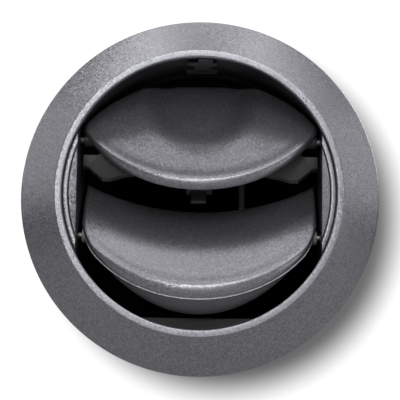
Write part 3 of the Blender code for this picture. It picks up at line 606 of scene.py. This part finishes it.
def build_bezel():
    """Cone and flat rim as one turned profile, and the ribs behind them."""
    seat = BEZEL_RADIUS - SEAT_WIDTH
    profile = rounded([
        (BEZEL_RADIUS, 0.0, 0.0),
        (BEZEL_RADIUS, -BEZEL_EDGE, BEZEL_EDGE * 0.8),
        (RIM_OUTER, -BEZEL_HEIGHT, 0.5 * MM),
        (RIM_INNER, -BEZEL_HEIGHT, 0.5 * MM),
        (RIM_INNER, -BEZEL_HEIGHT + RIM_LIP, 0.3 * MM),
        (COLLAR_INNER, -BEZEL_HEIGHT + RIM_LIP, 0.0),
        (COLLAR_INNER, under_cone(COLLAR_INNER), 0.0),
        (seat, under_cone(seat), 0.0),
        (seat, 0.0, 0.0),
    ])
    shells = [lathe(profile)]
    low = BARREL_OUTER + GAP
    sink = BEZEL_WALL / 2
    rib = [(low, under_cone(low) - sink), (seat + sink, under_cone(seat + sink) - sink),
           (seat + sink, -RIB_SETBACK), (low, -RIB_SETBACK)]
    for index in range(RIB_COUNT):
        plate = bar(rib, "Z", -RIB_THICKNESS / 2, RIB_THICKNESS / 2)
        shells.append(moved(plate, about_axis(2 * math.pi * (index + 0.5) / RIB_COUNT)))
    add_piece("bezel_painted", shells, "grey_paint", "housing", "bezel_ring")


def build_housing():
    """Retaining collar, barrel and inlet collar, with their moulded edges."""
    width = bpy.context.scene.vent_sizes.soft_edge
    section = rounded([(COLLAR_INNER, under_cone(COLLAR_INNER) + RUN_GAP, width),
                       (COLLAR_OUTER, under_cone(COLLAR_OUTER) + RUN_GAP, width),
                       (COLLAR_OUTER, COLLAR_END, width), (COLLAR_INNER, COLLAR_END, width)])
    add_piece("retaining_collar_turned", [lathe(section)], "black_plastic", "housing", "retaining_collar")
    softened("barrel", "black_plastic", "housing")
    softened("inlet_collar", "black_plastic", "housing")


def build_seals():
    """Foam rings on the barrel and the spigot and the felt brake ring, each a turned section."""
    for node, slot, edge in (("dash_seal", "foam", 0.4 * MM), ("duct_seal", "foam", 0.8 * MM),
                             ("brake_ring", "felt", 0.4 * MM)):
        source = np.array([v.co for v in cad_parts[node].data.vertices])
        radius = np.hypot(source[:, 0], source[:, 2])
        low, high = (radius.min(), source[:, 1].min()), (radius.max(), source[:, 1].max())
        add_piece(f"{node}_cut", [lathe(rectangle(low, high, edge, 4))], slot, "housing", node)


def build_screws():
    """Pan-head screws: head and shank turned, with a cross recess sunk in the head.

    The head's height at (r, t) is a dome less a recess that is deep near the two arms
    of the cross and fades with the distance from the middle.
    """
    rings = np.linspace(0, 1, 25)[:, None]
    turn = np.linspace(0, 2 * np.pi, 96, endpoint=False)
    for index in range(SCREW_COUNT):
        low, high = box(f"collar_screw_{index + 1}")
        seat = high[1] - SCREW_HEAD_HEIGHT
        radius = SCREW_HEAD * np.sin(rings * np.pi / 2)
        dome = seat + SCREW_HEAD_HEIGHT * np.cos(rings * np.pi / 2) ** 0.45
        arm = np.minimum(abs(radius * np.cos(turn)), abs(radius * np.sin(turn)))
        reach = np.clip((RECESS_REACH - radius) / (0.4 * MM), 0, 1)
        recess = RECESS_DEPTH * reach * np.clip((RECESS_ARM - arm) / (0.15 * MM), 0, 1)
        shank = np.array([(SCREW_HEAD, seat), (SCREW_RADIUS, seat), (SCREW_RADIUS, seat - SCREW_SHANK),
                          (0.0, low[1])])
        grid = np.concatenate([round_axis(radius, dome - recess, turn),
                               round_axis(shank[:, :1], shank[:, 1:], turn)])
        shell = grid.reshape(-1, 3), grid_faces(len(grid), len(turn), False, True)
        centre = (low + high) / 2
        add_piece(f"cross_screw_{index + 1}", [moved(shell, Matrix.Translation((centre[0], 0, centre[2])))],
                  "steel", "housing", f"collar_screw_{index + 1}")


def build_clips():
    """Bowed spring clips: a strip whose distance from the barrel rises and falls along its length.

    The inner side stands at the barrel plus the bow times a smoothed hump, which is flat at the
    rear end, rises to its peak and falls off again at the front.
    """
    share = np.linspace(0, 1, 41)
    hump = np.interp(share, [0, CLIP_FLAT, CLIP_PEAK, 1], [0, 0, 1, 0])
    kernel = np.hanning(9) / np.hanning(9).sum()
    hump = np.convolve(np.pad(hump, 4, mode="edge"), kernel, "valid")
    depth = CLIP_START + CLIP_LENGTH * (1 - share)
    inner = BARREL_OUTER + GAP + CLIP_BOW * hump
    outer = inner + CLIP_THICKNESS
    outline = np.vstack([np.stack([inner, depth], axis=1), np.stack([outer, depth], axis=1)[::-1]])
    strip = bar(outline, "Z", -CLIP_WIDTH / 2, CLIP_WIDTH / 2, 0.15 * MM)
    for index in range(CLIP_COUNT):
        turn = about_axis(-2 * math.pi * (index + 0.5) / CLIP_COUNT)
        add_piece(f"spring_clip_{index + 1}", [moved(strip, turn)], "steel", "housing",
                  f"panel_clip_{index + 1}")


# Rotor


def build_drum():
    """Drum with its cheeks and chin, and the clip on its ceiling."""
    softened("rotor_drum", "black_plastic", "rotor")
    softened("index_clip", "dark_plastic", "rotor", 0.12 * MM)


def cheek_strip():
    """Shell of a rounded section carried round the axis, and cut off by the chord at the cheek.

    A point of the section at radius r runs through the angles whose cosine is at least chord / r.
    """
    inner, edge = FACE_RADIUS - STRIP_WIDTH, bpy.context.scene.vent_sizes.edge
    section = rounded([(inner, CAP_BACK, 0.0), (FACE_RADIUS, CAP_BACK, 0.0), (FACE_RADIUS, CAP_FRONT, edge),
                       (inner, CAP_FRONT, edge)], 3)
    radius, depth = section.T
    turn = np.linspace(-1, 1, 61)[:, None] * np.arccos(CHEEK_X / radius)
    return round_axis(radius, depth, turn).reshape(-1, 3), tube_faces(len(turn), len(section))


def cheek_cap():
    """Shell of the circle segment between the strip and the chord at the cheek."""
    half = math.acos(CHEEK_X / CAP_RADIUS)
    return bar(arc(CAP_RADIUS, np.linspace(-half, half, 60)), "Y", CAP_FRONT, CAP_BACK, 0.1 * MM)


def build_cheeks():
    """Painted strip and cap of each cheek, the left ones turned half round from the right ones."""
    for side, angle in (("right", 0.0), ("left", math.pi)):
        for kind, shell in (("strip", cheek_strip()), ("cap", cheek_cap())):
            add_piece(f"{kind}_painted_{side}", [moved(shell, about_axis(angle))], "grey_paint", "rotor",
                      f"cheek_{kind}_{side}")


def build_bushes():
    """Silicone bushes: short tubes with a rounded mouth, their axis along X."""
    for flap in ("upper", "lower"):
        for side in ("left", "right"):
            node = f"{flap}_bush_{side}"
            low, high = box(node)
            outer = (high[2] - low[2]) / 2
            section = rectangle((outer - BUSH_WALL, low[0]), (outer, high[0]), 0.15 * MM, 3)
            tube = moved(lathe(section, steps=48), along_x(low, high))
            add_piece(f"{node}_moulded", [tube], "silicone", "rotor", node)


# Flaps


def smooth_step(value):
    """Smooth rise from 0 to 1: the square of the share times three less twice the share."""
    share = np.clip(value, 0, 1)
    return share * share * (3 - 2 * share)


def sagged(x, lowest, rise):
    """Circular arc that is lowest at the middle and has risen by rise at the flap's ends."""
    radius = (FLAP_HALF ** 2 + rise ** 2) / (2 * rise)
    return lowest + radius - np.sqrt(radius ** 2 - x ** 2)


def upper_bottom(x):
    """Lip of the upper flap: an arc from tip to tip that sags below the axis."""
    return sagged(x, -UPPER_LIP, TIP_LIP + UPPER_LIP)


def upper_top(x):
    """Top edge of the upper flap: a circle about the axis, cut off flat."""
    return np.minimum(np.sqrt(FLAP_RADIUS ** 2 - x ** 2), UPPER_FLAT)


def lower_bottom(x):
    """Lip of the lower flap: a sagging arc that a cube lifts near the flap's ends."""
    near_end = np.maximum(0, (abs(x) / FLAP_HALF - CORNER_START) / (1 - CORNER_START))
    return sagged(x, -LOWER_LIP, LOWER_LIP - LOWER_CORNER) + CORNER_RISE * near_end ** 3


def lower_top(x):
    """Rear edge of the lower flap: a sagging arc."""
    return sagged(x, -LOWER_REAR, REAR_RISE)


def bead(distance, x, lip):
    """Low swelling behind the lip: a bell curve of the distance from the edge, fading to the tips."""
    return BEAD_HEIGHT * (1 - (abs(x) / FLAP_HALF) ** 4) * np.exp(-((distance - lip) / BEAD_SPREAD) ** 2)


def upper_face(x, z):
    """Face height: a bead, less a light dish, less a thumb scoop that is an ellipse with a soft wall.

    The scoop's floor falls on a straight line towards the flap's top edge, where it runs out open.
    """
    distance = z - upper_bottom(x)
    near_top = smooth_step(1 - (UPPER_FLAT - z) / SCOOP_EDGE)
    dish = DISH_DEPTH * (1 - (x / FLAP_HALF) ** 2) * smooth_step(distance / DISH_START)
    ring = np.hypot(x / SCOOP_WIDTH, (z - UPPER_FLAT + SCOOP_INSET) / SCOOP_LENGTH)
    floor = SCOOP_DEPTH + SCOOP_FALL * np.clip(1 - (UPPER_FLAT - z) / SCOOP_LENGTH, 0, 1)
    scoop = floor * smooth_step((1.06 - ring) / 0.5)
    return FACE_OFFSET + bead(distance, x, UPPER_LIP_RADIUS) - dish * (1 - near_top) - scoop


def lower_face(x, z):
    """Face height: a bead, less a rear part that falls away by a power of its nearness to the edge."""
    reach = REAR_SHARE * (LOWER_LIP - LOWER_REAR)
    fall = np.maximum(0, 1 - (lower_top(x) - z) / reach)
    return FACE_OFFSET + bead(z - lower_bottom(x), x, LOWER_LIP_RADIUS) - REAR_DROP * fall ** 1.6


def arc_rise(distance, radius):
    """Height gained on a quarter circle at a distance in from its foot."""
    near = radius - np.clip(distance, 0, radius)
    return np.sqrt(np.maximum(radius ** 2 - near ** 2, 0))


class Flap:
    """Outline and painted surface of a flap, as it stands closed, and its turn to rest."""

    def __init__(self, pivot, bottom, top, face, lip):
        self.pivot, self.bottom, self.top, self.face, self.lip = pivot, bottom, top, face, lip

    def height(self, x, z, inset=0.0):
        """Height over the pivot plane of the surface that lies inset under the painted one.

        The face drops by a quarter circle at the lip and by smaller ones at the other edges.
        """
        full = SHELL_WALL + 0.1 * MM + (self.lip - SHELL_WALL) * (1 - (abs(x) / FLAP_HALF) ** 3)
        lip, edge = full - inset, np.maximum(SHELL_WALL - inset, 0.0)
        drop = np.maximum(lip - arc_rise(z - self.bottom(x) - inset, lip),
                          edge - arc_rise(self.top(x) - z - inset, edge))
        drop = np.maximum(drop, edge - arc_rise(FLAP_HALF - abs(x) - inset, edge))
        return self.face(x, z) - inset - drop

    def placed(self, x, height, z):
        """Points at rest: closed ones turned back about the pivot by the flap's angle."""
        up = z - self.pivot
        sine, cosine = math.sin(FLAP_ANGLE), math.cos(FLAP_ANGLE)
        return np.stack([x + 0 * z, PIVOT_Y - height * cosine + up * sine,
                         self.pivot + height * sine + up * cosine], axis=-1)

    def turn(self):
        """Matrix from the flap's own frame, with its origin on the pivot, to its place at rest."""
        return Matrix.Translation((0, PIVOT_Y, self.pivot)) @ Matrix.Rotation(-FLAP_ANGLE, 4, "X")


UPPER = Flap(UPPER_PIVOT, upper_bottom, upper_top, upper_face, UPPER_LIP_RADIUS)
LOWER = Flap(LOWER_PIVOT, lower_bottom, lower_top, lower_face, LOWER_LIP_RADIUS)


def column_grid(half, bottom, top, near_low, near_high, columns, rows):
    """Grid of closed (x, z): columns crowd towards the sides, and rows towards both edges."""
    x = half * np.sin(np.linspace(-np.pi / 2, np.pi / 2, 2 * columns + 1))[:, None]
    low, high = bottom(x), top(x)
    scale = np.minimum(1, (high - low) / (14 * MM))
    first, last = low + near_low * scale, high - near_high * scale
    between = np.linspace(0, 1, rows + 2)[1:-1]
    middle = first[:, -1:] + (last[:, :1] - first[:, -1:]) * between
    z = np.hstack([first, middle, last])
    return x + 0 * z, z


def skin(flap, x, z, front, back):
    """Closed shell between two height fields over one grid, joined along their common edge."""
    sheets = [flap.placed(x, height, z) for height in (front, back)]
    edge = np.ones(x.shape, bool)
    edge[1:-1, 1:-1] = False
    sheets[1][edge] = sheets[0][edge]
    faces = grid_faces(*x.shape)
    points = np.concatenate([sheet.reshape(-1, 3) for sheet in sheets])
    return points, np.vstack([faces, faces[:, ::-1] + x.size])


def painted_shell(flap):
    """Shell of the painted face, with rows that follow the lip's round by equal angles."""
    angle = np.linspace(0, np.pi / 2, 12)
    near_low = np.concatenate([flap.lip * (1 - np.cos(angle)), flap.lip + np.linspace(0.5, 6, 8) * MM])
    near_high = SHELL_WALL * (1 - np.cos(angle[::-2]))
    x, z = column_grid(FLAP_HALF, flap.bottom, flap.top, near_low, near_high, 60, 34)
    return skin(flap, x, z, flap.height(x, z), flap.height(x, z, SHELL_WALL))


def lip_foot(flap):
    """Thin strip along the foot of the lip: a rounded section carried across the flap under its edge."""
    x = 0.96 * FLAP_HALF * np.sin(np.linspace(-np.pi / 2, np.pi / 2, 81))[:, None]
    section = rounded([(0.0, 1.0 * MM, 0.0), (0.0, -FOOT_DROP, 0.12 * MM),
                       (FOOT_WIDTH, -FOOT_DROP, 0.12 * MM), (FOOT_WIDTH, 1.0 * MM, 0.0)], 3)
    edge = flap.bottom(x)
    points = flap.placed(x, flap.height(x, edge) + section[:, 0], edge + section[:, 1])
    return points.reshape(-1, 3), tube_faces(len(x), len(section))


def pan_shell(flap, half, bottom, top, depth, ramp):
    """Open pan behind the face: it bulges back by its depth on a ramp from its rim inwards."""
    near_low = np.array([0.0, 0.15, 0.35, 0.7, 1.3, 2.0, 2.8, 3.4]) * MM
    near_high = near_low[::-1]
    x, z = column_grid(half, bottom, top, near_low, near_high, 40, 20)
    rim = flap.height(x, z, SHELL_WALL + GAP) - GAP
    near = np.minimum(np.minimum(z - bottom(x), top(x) - z), (half - abs(x)) * 0.5)

    def bulge(inset):
        return depth(x, z) * (1 - (1 - np.clip((near - inset) / ramp, 0, 1)) ** 3)

    front = rim - np.maximum(0, bulge(PAN_WALL) - PAN_WALL)
    return skin(flap, x, z, front, rim - bulge(0.0))


def pivot_shells(flap, root):
    """Pivot bosses and the crank plate, in the flap's own frame, turned to rest."""
    shells = []
    for side in (-1, 1):
        low, high = sorted((side * (FLAP_HALF - BOSS_LENGTH), side * FLAP_HALF))
        shells.append(bar(circle(BOSS_RADIUS), "X", low, high))
    half = CRANK_WIDTH / 2
    tip = (CRANK_LENGTH, 0.0) + arc(half, np.linspace(0, np.pi, 25))[:, ::-1]
    outline = np.vstack([[(root, half)], tip, [(root, -half)]])
    shells.append(bar(outline, "X", CRANK_X, CRANK_X + CRANK_THICKNESS))
    return [moved(shell, flap.turn()) for shell in shells]


def ear_shells():
    """Leaning side plates between the two flaps: an outline carried along Y, sheared by its height."""
    outer = FLAP_HALF / MM + 0.4
    corners = np.array([
        (outer, -3.7, 0.0), (31.6, -3.7, 0.6), (29.0, -1.0, 0.0), (20.0, -1.0, 0.0), (20.0, -8.3, 0.4),
        (24.0, -8.8, 3.0), (27.5, -9.6, 3.0), (30.2, -9.6, 1.2), (32.6, -8.2, 1.5), (34.6, -6.8, 1.0),
        (outer, -6.5, 0.0),
    ])
    shells = []
    for side in (-1, 1):
        outline = rounded(corners * MM) * (side, 1)
        points, faces = bar(outline, "Y", EAR_FRONT, EAR_FRONT + EAR_PLATE, 0.2 * MM)
        points[:, 1] -= EAR_LEAN * points[:, 2]
        shells.append(moved((points, faces), UPPER.turn()))
    return shells


def tab_shells():
    """Stepped tab at the middle of the upper flap's back: a shelf and a narrower stem under it."""
    shelf = np.array([(-4.2, 0.0, 0.0), (3.8, 0.0, 0.0), (3.8, 10.6, 0.3), (-4.2, 10.6, 0.3)]) * MM
    stem = np.array([(-2.8, -12.5, 0.0), (-2.8, -16.6, 0.3), (2.0, -16.6, 0.3), (2.0, -12.5, 0.0)]) * MM
    shells = [bar(rounded(shelf), "Z", -12.9 * MM, -11.0 * MM),
              bar(rounded(stem), "Y", 9.0 * MM, 10.45 * MM)]
    return [moved(shell, UPPER.turn()) for shell in shells]


def build_upper_flap():
    """Painted upper shell and its dark back with ears, tab, crank and bosses.

    The back's outline is the face's drawn in, and cut off lower at the top. Its depth falls off
    with the square of the distance from the middle.
    """
    add_piece("upper_face_painted", [painted_shell(UPPER)], "grey_paint", "upper_flap",
              "upper_flap_shell", 50.0)
    half = FLAP_HALF - UPPER_PAN_INSET

    def bottom(x):
        return upper_bottom(x) + UPPER_PAN_INSET

    def top(x):
        return np.maximum(np.minimum(upper_top(x) - UPPER_PAN_INSET, UPPER_FLAT - 7 * MM), bottom(x) + 2 * MM)

    def depth(x, z):
        return UPPER_PAN_DEPTH * (1 - 0.3 * (x / half) ** 2)

    shells = [pan_shell(UPPER, half, bottom, top, depth, UPPER_PAN_RAMP)]
    shells += pivot_shells(UPPER, 2.0 * MM) + ear_shells() + tab_shells()
    add_piece("upper_back_moulded", shells, "dark_plastic", "upper_flap", "upper_flap_pan")


def build_lower_flap():
    """Painted lower shell and its deep back, which the spray reached, with crank and bosses.

    The back's outline runs from the lip, drawn in, to a line over the pivot. Its depth falls off
    with the square of the distance from the middle, and smoothly towards the pivot.
    """
    add_piece("lower_face_painted", [painted_shell(LOWER), lip_foot(LOWER)], "grey_paint", "lower_flap",
              "lower_flap_shell", 50.0)
    half = FLAP_HALF - LOWER_PAN_INSET

    def bottom(x):
        return lower_bottom(x) + LOWER_PAN_INSET

    def top(x):
        return LOWER_PIVOT + 4.0 * MM + 0 * x

    def depth(x, z):
        back = smooth_step((z - LOWER_PIVOT + 14 * MM) / (18 * MM))
        return LOWER_PAN_DEPTH * (1 - 0.7 * back) * (1 - (x / half) ** 2)

    shells = [pan_shell(LOWER, half, bottom, top, depth, LOWER_PAN_RAMP)] + pivot_shells(LOWER, 3.0 * MM)
    back = add_piece("lower_back_moulded", shells, "dark_plastic", "lower_flap", "lower_flap_pan")
    back.data.materials[0] = oversprayed_abs(bpy.context.scene.vent_sizes, bpy.context.scene.vent_colours)


def build_pins():
    """Pivot and crank pins: turned rods with rounded ends, their axis along X."""
    for flap in ("upper", "lower"):
        for pin in ("pin_left", "pin_right", "crank_pin"):
            node = f"{flap}_{pin}"
            low, high = box(node)
            radius = (high[2] - low[2]) / 2
            profile = rounded([(0.0, low[0], 0.0), (radius, low[0], 0.2 * MM), (radius, high[0], 0.2 * MM),
                               (0.0, high[0], 0.0)], 3)
            rod = moved(lathe(profile, False, 40), along_x(low, high))
            add_piece(f"{node}_turned", [rod], "steel", f"{flap}_flap", node)


def build_link():
    """Coupling bar: two half circles joined by straight sides, carried along X."""
    low, high = box("coupling_link")
    half = (high[1] - low[1]) / 2
    middle = (high[1] + low[1]) / 2
    end = arc(half, np.linspace(0, np.pi, 25))
    outline = np.vstack([(middle, high[2] - half) + end, (middle, low[2] + half) - end])
    add_piece("link_moulded", [bar(outline, "X", low[0], high[0])], "dark_plastic", "link", "coupling_link")


# Stage


CAMERA_AZIMUTH = math.radians(1.0)
CAMERA_ELEVATION = math.radians(-8.0)
CAMERA_ROLL = math.radians(0.8)
CAMERA_DISTANCE = 440 * MM
CAMERA_AIM = Vector((0.1, 0.0, -0.85)) * MM
CAMERA_LENS = 128.5
# Soft dim patch in the board's glow: a painted shadow of the vent, to its right and below it
PAINTED_SHADOW_CENTRE = (7.0 * MM, 0.0, 1.5 * MM)
PAINTED_SHADOW_INNER = 53.0 * MM
PAINTED_SHADOW_OUTER = 68.0 * MM
PAINTED_SHADOW_GLOW = 0.12
FLOOR_HEIGHT = -0.14
CARD_REACH = 1.2
BOARD_GAP = 1.0 * MM
# Near-black card behind the spigot: painted shade inside the duct, seen through the vent
DUCT_SHADE_RADIUS = 38.5 * MM
LAMP_DISTANCE = 0.8

# Soft lights: azimuth to the right and elevation in degrees, width in metres, power in watts
LAMPS = {
    "key_front": (-9, 9, 0.15, 0.62),
    "low_front": (4, -17, 0.35, 0.85),
    "high_rear": (180, 70, 0.6, 1.1),
    "key_above": (0, 28, 0.3, 1.45),
    "key_right": (20, 35, 0.6, 1.0),
    "high_left": (-60, 60, 0.6, 2.0),
    "high_right": (60, 60, 0.6, 1.6),
    "low_right": (60, -12, 0.4, 0.9),
    "side_right": (90, 20, 0.5, 0.65),
    "side_left": (-90, 20, 0.5, 0.55),
    "rear_left": (-140, 25, 0.4, 1.2),
    "rear_right": (140, 25, 0.4, 1.2),
}


def one_sided(name, value):
    """Matt card that is seen from its front only, so no view from behind is blocked."""
    made, tree, shader = new_material(name)
    fill(shader, {"Base Color": opaque(value), "Roughness": 0.9, "Specular IOR Level": 0.1})
    back = add_node(tree, "NewGeometry").outputs["Backfacing"]
    clear = add_node(tree, "BsdfTransparent")
    mix = add_node(tree, "MixShader", {0: back, 1: shader, 2: clear})
    fill(tree.nodes["Material Output"], {"Surface": mix})
    return made


def light_box(name, value):
    """One-sided board that glows, but for a soft dim patch to the right of the vent and below,
    which is a painted shadow of the vent.

    The glow rises smoothly with the distance from the patch's centre, from its inner to its outer edge.
    """
    made = one_sided(name, value)
    tree = made.node_tree
    place = add_node(tree, "TexCoord").outputs["Object"]
    flat = add_node(tree, "VectorMath", {0: place, 1: (1.0, 0.0, 1.0)}, operation="MULTIPLY")
    away = add_node(tree, "VectorMath", {0: flat, 1: PAINTED_SHADOW_CENTRE}, operation="DISTANCE")
    glow = add_node(tree, "MapRange", {"Value": away.outputs["Value"], "From Min": PAINTED_SHADOW_INNER,
                                       "From Max": PAINTED_SHADOW_OUTER, "To Min": PAINTED_SHADOW_GLOW},
                    interpolation_type="SMOOTHSTEP")
    fill(tree.nodes["Principled BSDF"], {"Emission Color": opaque((1, 1, 1)), "Emission Strength": glow})
    return made


def add_card(name, corners, material):
    """Flat stage card; its corners run anticlockwise seen from its front."""
    mesh = bpy.data.meshes.new(name)
    mesh.from_pydata(corners, [], [list(range(len(corners)))])
    mesh.materials.append(material)
    made = add_object(name, mesh)
    return made


def direction(azimuth, elevation):
    """Unit vector towards a place at azimuth (from the front to the right) and elevation, in radians."""
    return Vector((math.sin(azimuth) * math.cos(elevation), -math.cos(azimuth) * math.cos(elevation),
                   math.sin(elevation)))


def add_light(name, azimuth, elevation, size, power):
    """Square soft light that looks at the vent."""
    lamp = bpy.data.lights.new(name, "AREA")
    lamp.size = size
    lamp.energy = power
    made = add_object(name, lamp)
    made.location = LAMP_DISTANCE * direction(math.radians(azimuth), math.radians(elevation))
    made.rotation_euler = (-made.location).to_track_quat("-Z", "Y").to_euler()
    made.visible_camera = False


def build_camera():
    """Camera at the photograph's angle: a little from below, with the picture turned a little clockwise."""
    lens = bpy.data.cameras.new("camera")
    lens.lens = CAMERA_LENS
    lens.sensor_width = 36.0
    lens.clip_start = 0.01
    camera = add_object("camera", lens)
    back = direction(CAMERA_AZIMUTH, CAMERA_ELEVATION)
    camera.location = CAMERA_AIM + back * CAMERA_DISTANCE
    camera.rotation_mode = "QUATERNION"
    roll = Matrix.Rotation(CAMERA_ROLL, 3, "Z").to_quaternion()
    camera.rotation_quaternion = (-back).to_track_quat("-Z", "Y") @ roll
    bpy.context.scene.camera = camera


def build_stage():
    """Pale floor, glowing board with a painted shadow, a near-black card behind the spigot that is
    painted shade inside the duct, soft lights and a pale world.

    The board shows to the camera only: it neither lights the vent nor shades it.
    """
    ground = bpy.context.scene.vent_colours.ground
    back = CAD_BOX[1].y + BOARD_GAP
    wide = CARD_REACH
    square = [(-wide, -wide), (wide, -wide), (wide, wide), (-wide, wide)]
    wall = [(-wide, FLOOR_HEIGHT), (wide, FLOOR_HEIGHT), (wide, wide), (-wide, wide)]
    add_card("floor", [(x, y, FLOOR_HEIGHT) for x, y in square], one_sided("pale_floor", ground))
    # The board's glow carries the painted shadow of the vent
    board = add_card("board", [(x, back, z) for x, z in wall], light_box("pale_board_painted_shadow", linear("#4c4c4c")))
    board.visible_diffuse = False
    board.visible_glossy = False
    board.visible_shadow = False
    # Near-black card: painted shade inside the duct
    add_card("duct_shade_card", [(a, back - 0.4 * MM, b) for a, b in circle(DUCT_SHADE_RADIUS, 64).tolist()],
             one_sided("painted_duct_shade", linear("#040404")))
    for name, settings in LAMPS.items():
        add_light(name, *settings)
    world = bpy.data.worlds.new("studio")
    world.use_nodes = True
    fill(world.node_tree.nodes["Background"], {"Color": opaque((0.95, 0.97, 1.0)), "Strength": 0.1})
    bpy.context.scene.world = world
    bpy.context.scene.view_settings.view_transform = "Standard"


# Operators and panel


class VENT_OT_bezel(Operator):
    """Build the painted bezel with its rim and ribs"""

    bl_idname = "vent.bezel"
    bl_label = "Bezel"

    def execute(self, context):
        build_bezel()
        return {"FINISHED"}


class VENT_OT_housing(Operator):
    """Build the retaining collar, the barrel and the inlet collar"""

    bl_idname = "vent.housing"
    bl_label = "Barrel and Inlet"

    def execute(self, context):
        build_housing()
        return {"FINISHED"}


class VENT_OT_seals(Operator):
    """Build the foam seals and the felt brake ring"""

    bl_idname = "vent.seals"
    bl_label = "Seals"

    def execute(self, context):
        build_seals()
        return {"FINISHED"}


class VENT_OT_fasteners(Operator):
    """Build the collar screws and the spring clips"""

    bl_idname = "vent.fasteners"
    bl_label = "Screws and Clips"

    def execute(self, context):
        build_screws()
        build_clips()
        return {"FINISHED"}


class VENT_OT_rotor(Operator):
    """Build the drum, the painted cheek faces and the bushes"""

    bl_idname = "vent.rotor"
    bl_label = "Rotor"

    def execute(self, context):
        build_drum()
        build_cheeks()
        build_bushes()
        return {"FINISHED"}


class VENT_OT_upper_flap(Operator):
    """Build the upper flap's painted shell and its dark back"""

    bl_idname = "vent.upper_flap"
    bl_label = "Upper Flap"

    def execute(self, context):
        build_upper_flap()
        return {"FINISHED"}


class VENT_OT_lower_flap(Operator):
    """Build the lower flap's painted shell and its dark back"""

    bl_idname = "vent.lower_flap"
    bl_label = "Lower Flap"

    def execute(self, context):
        build_lower_flap()
        return {"FINISHED"}


class VENT_OT_linkage(Operator):
    """Build the pivot pins, the crank pins and the coupling link"""

    bl_idname = "vent.linkage"
    bl_label = "Pins and Link"

    def execute(self, context):
        build_pins()
        build_link()
        return {"FINISHED"}


class VENT_OT_stage(Operator):
    """Build the camera, the floor, the board and the lights"""

    bl_idname = "vent.stage"
    bl_label = "Stage"

    def execute(self, context):
        build_camera()
        build_stage()
        return {"FINISHED"}


OPERATORS = (VENT_OT_bezel, VENT_OT_housing, VENT_OT_seals, VENT_OT_fasteners, VENT_OT_rotor,
             VENT_OT_upper_flap, VENT_OT_lower_flap, VENT_OT_linkage, VENT_OT_stage)


class VENT_PT_panel(bpy.types.Panel):
    """Lists the vent's sizes, colours and operators"""

    bl_idname = "VENT_PT_panel"
    bl_label = "Air Vent"
    bl_space_type = "VIEW_3D"
    bl_region_type = "UI"
    bl_category = "Air Vent"

    def draw(self, context):
        for group in (context.scene.vent_sizes, context.scene.vent_colours):
            column = self.layout.column(align=True)
            for name in group.__annotations__:
                column.prop(group, name)
        column = self.layout.column()
        for operator in OPERATORS:
            column.operator(operator.bl_idname)


CLASSES = (VENT_PG_sizes, VENT_PG_colours) + OPERATORS + (VENT_PT_panel,)


def register():
    for item in CLASSES:
        bpy.utils.register_class(item)
    bpy.types.Scene.vent_sizes = PointerProperty(type=VENT_PG_sizes)
    bpy.types.Scene.vent_colours = PointerProperty(type=VENT_PG_colours)


def unregister():
    del bpy.types.Scene.vent_colours
    del bpy.types.Scene.vent_sizes
    for item in reversed(CLASSES):
        bpy.utils.unregister_class(item)


def main():
    register()
    for operator in OPERATORS:
        group, name = operator.bl_idname.split(".")
        getattr(getattr(bpy.ops, group), name)()


if __name__ == "__main__":
    main()
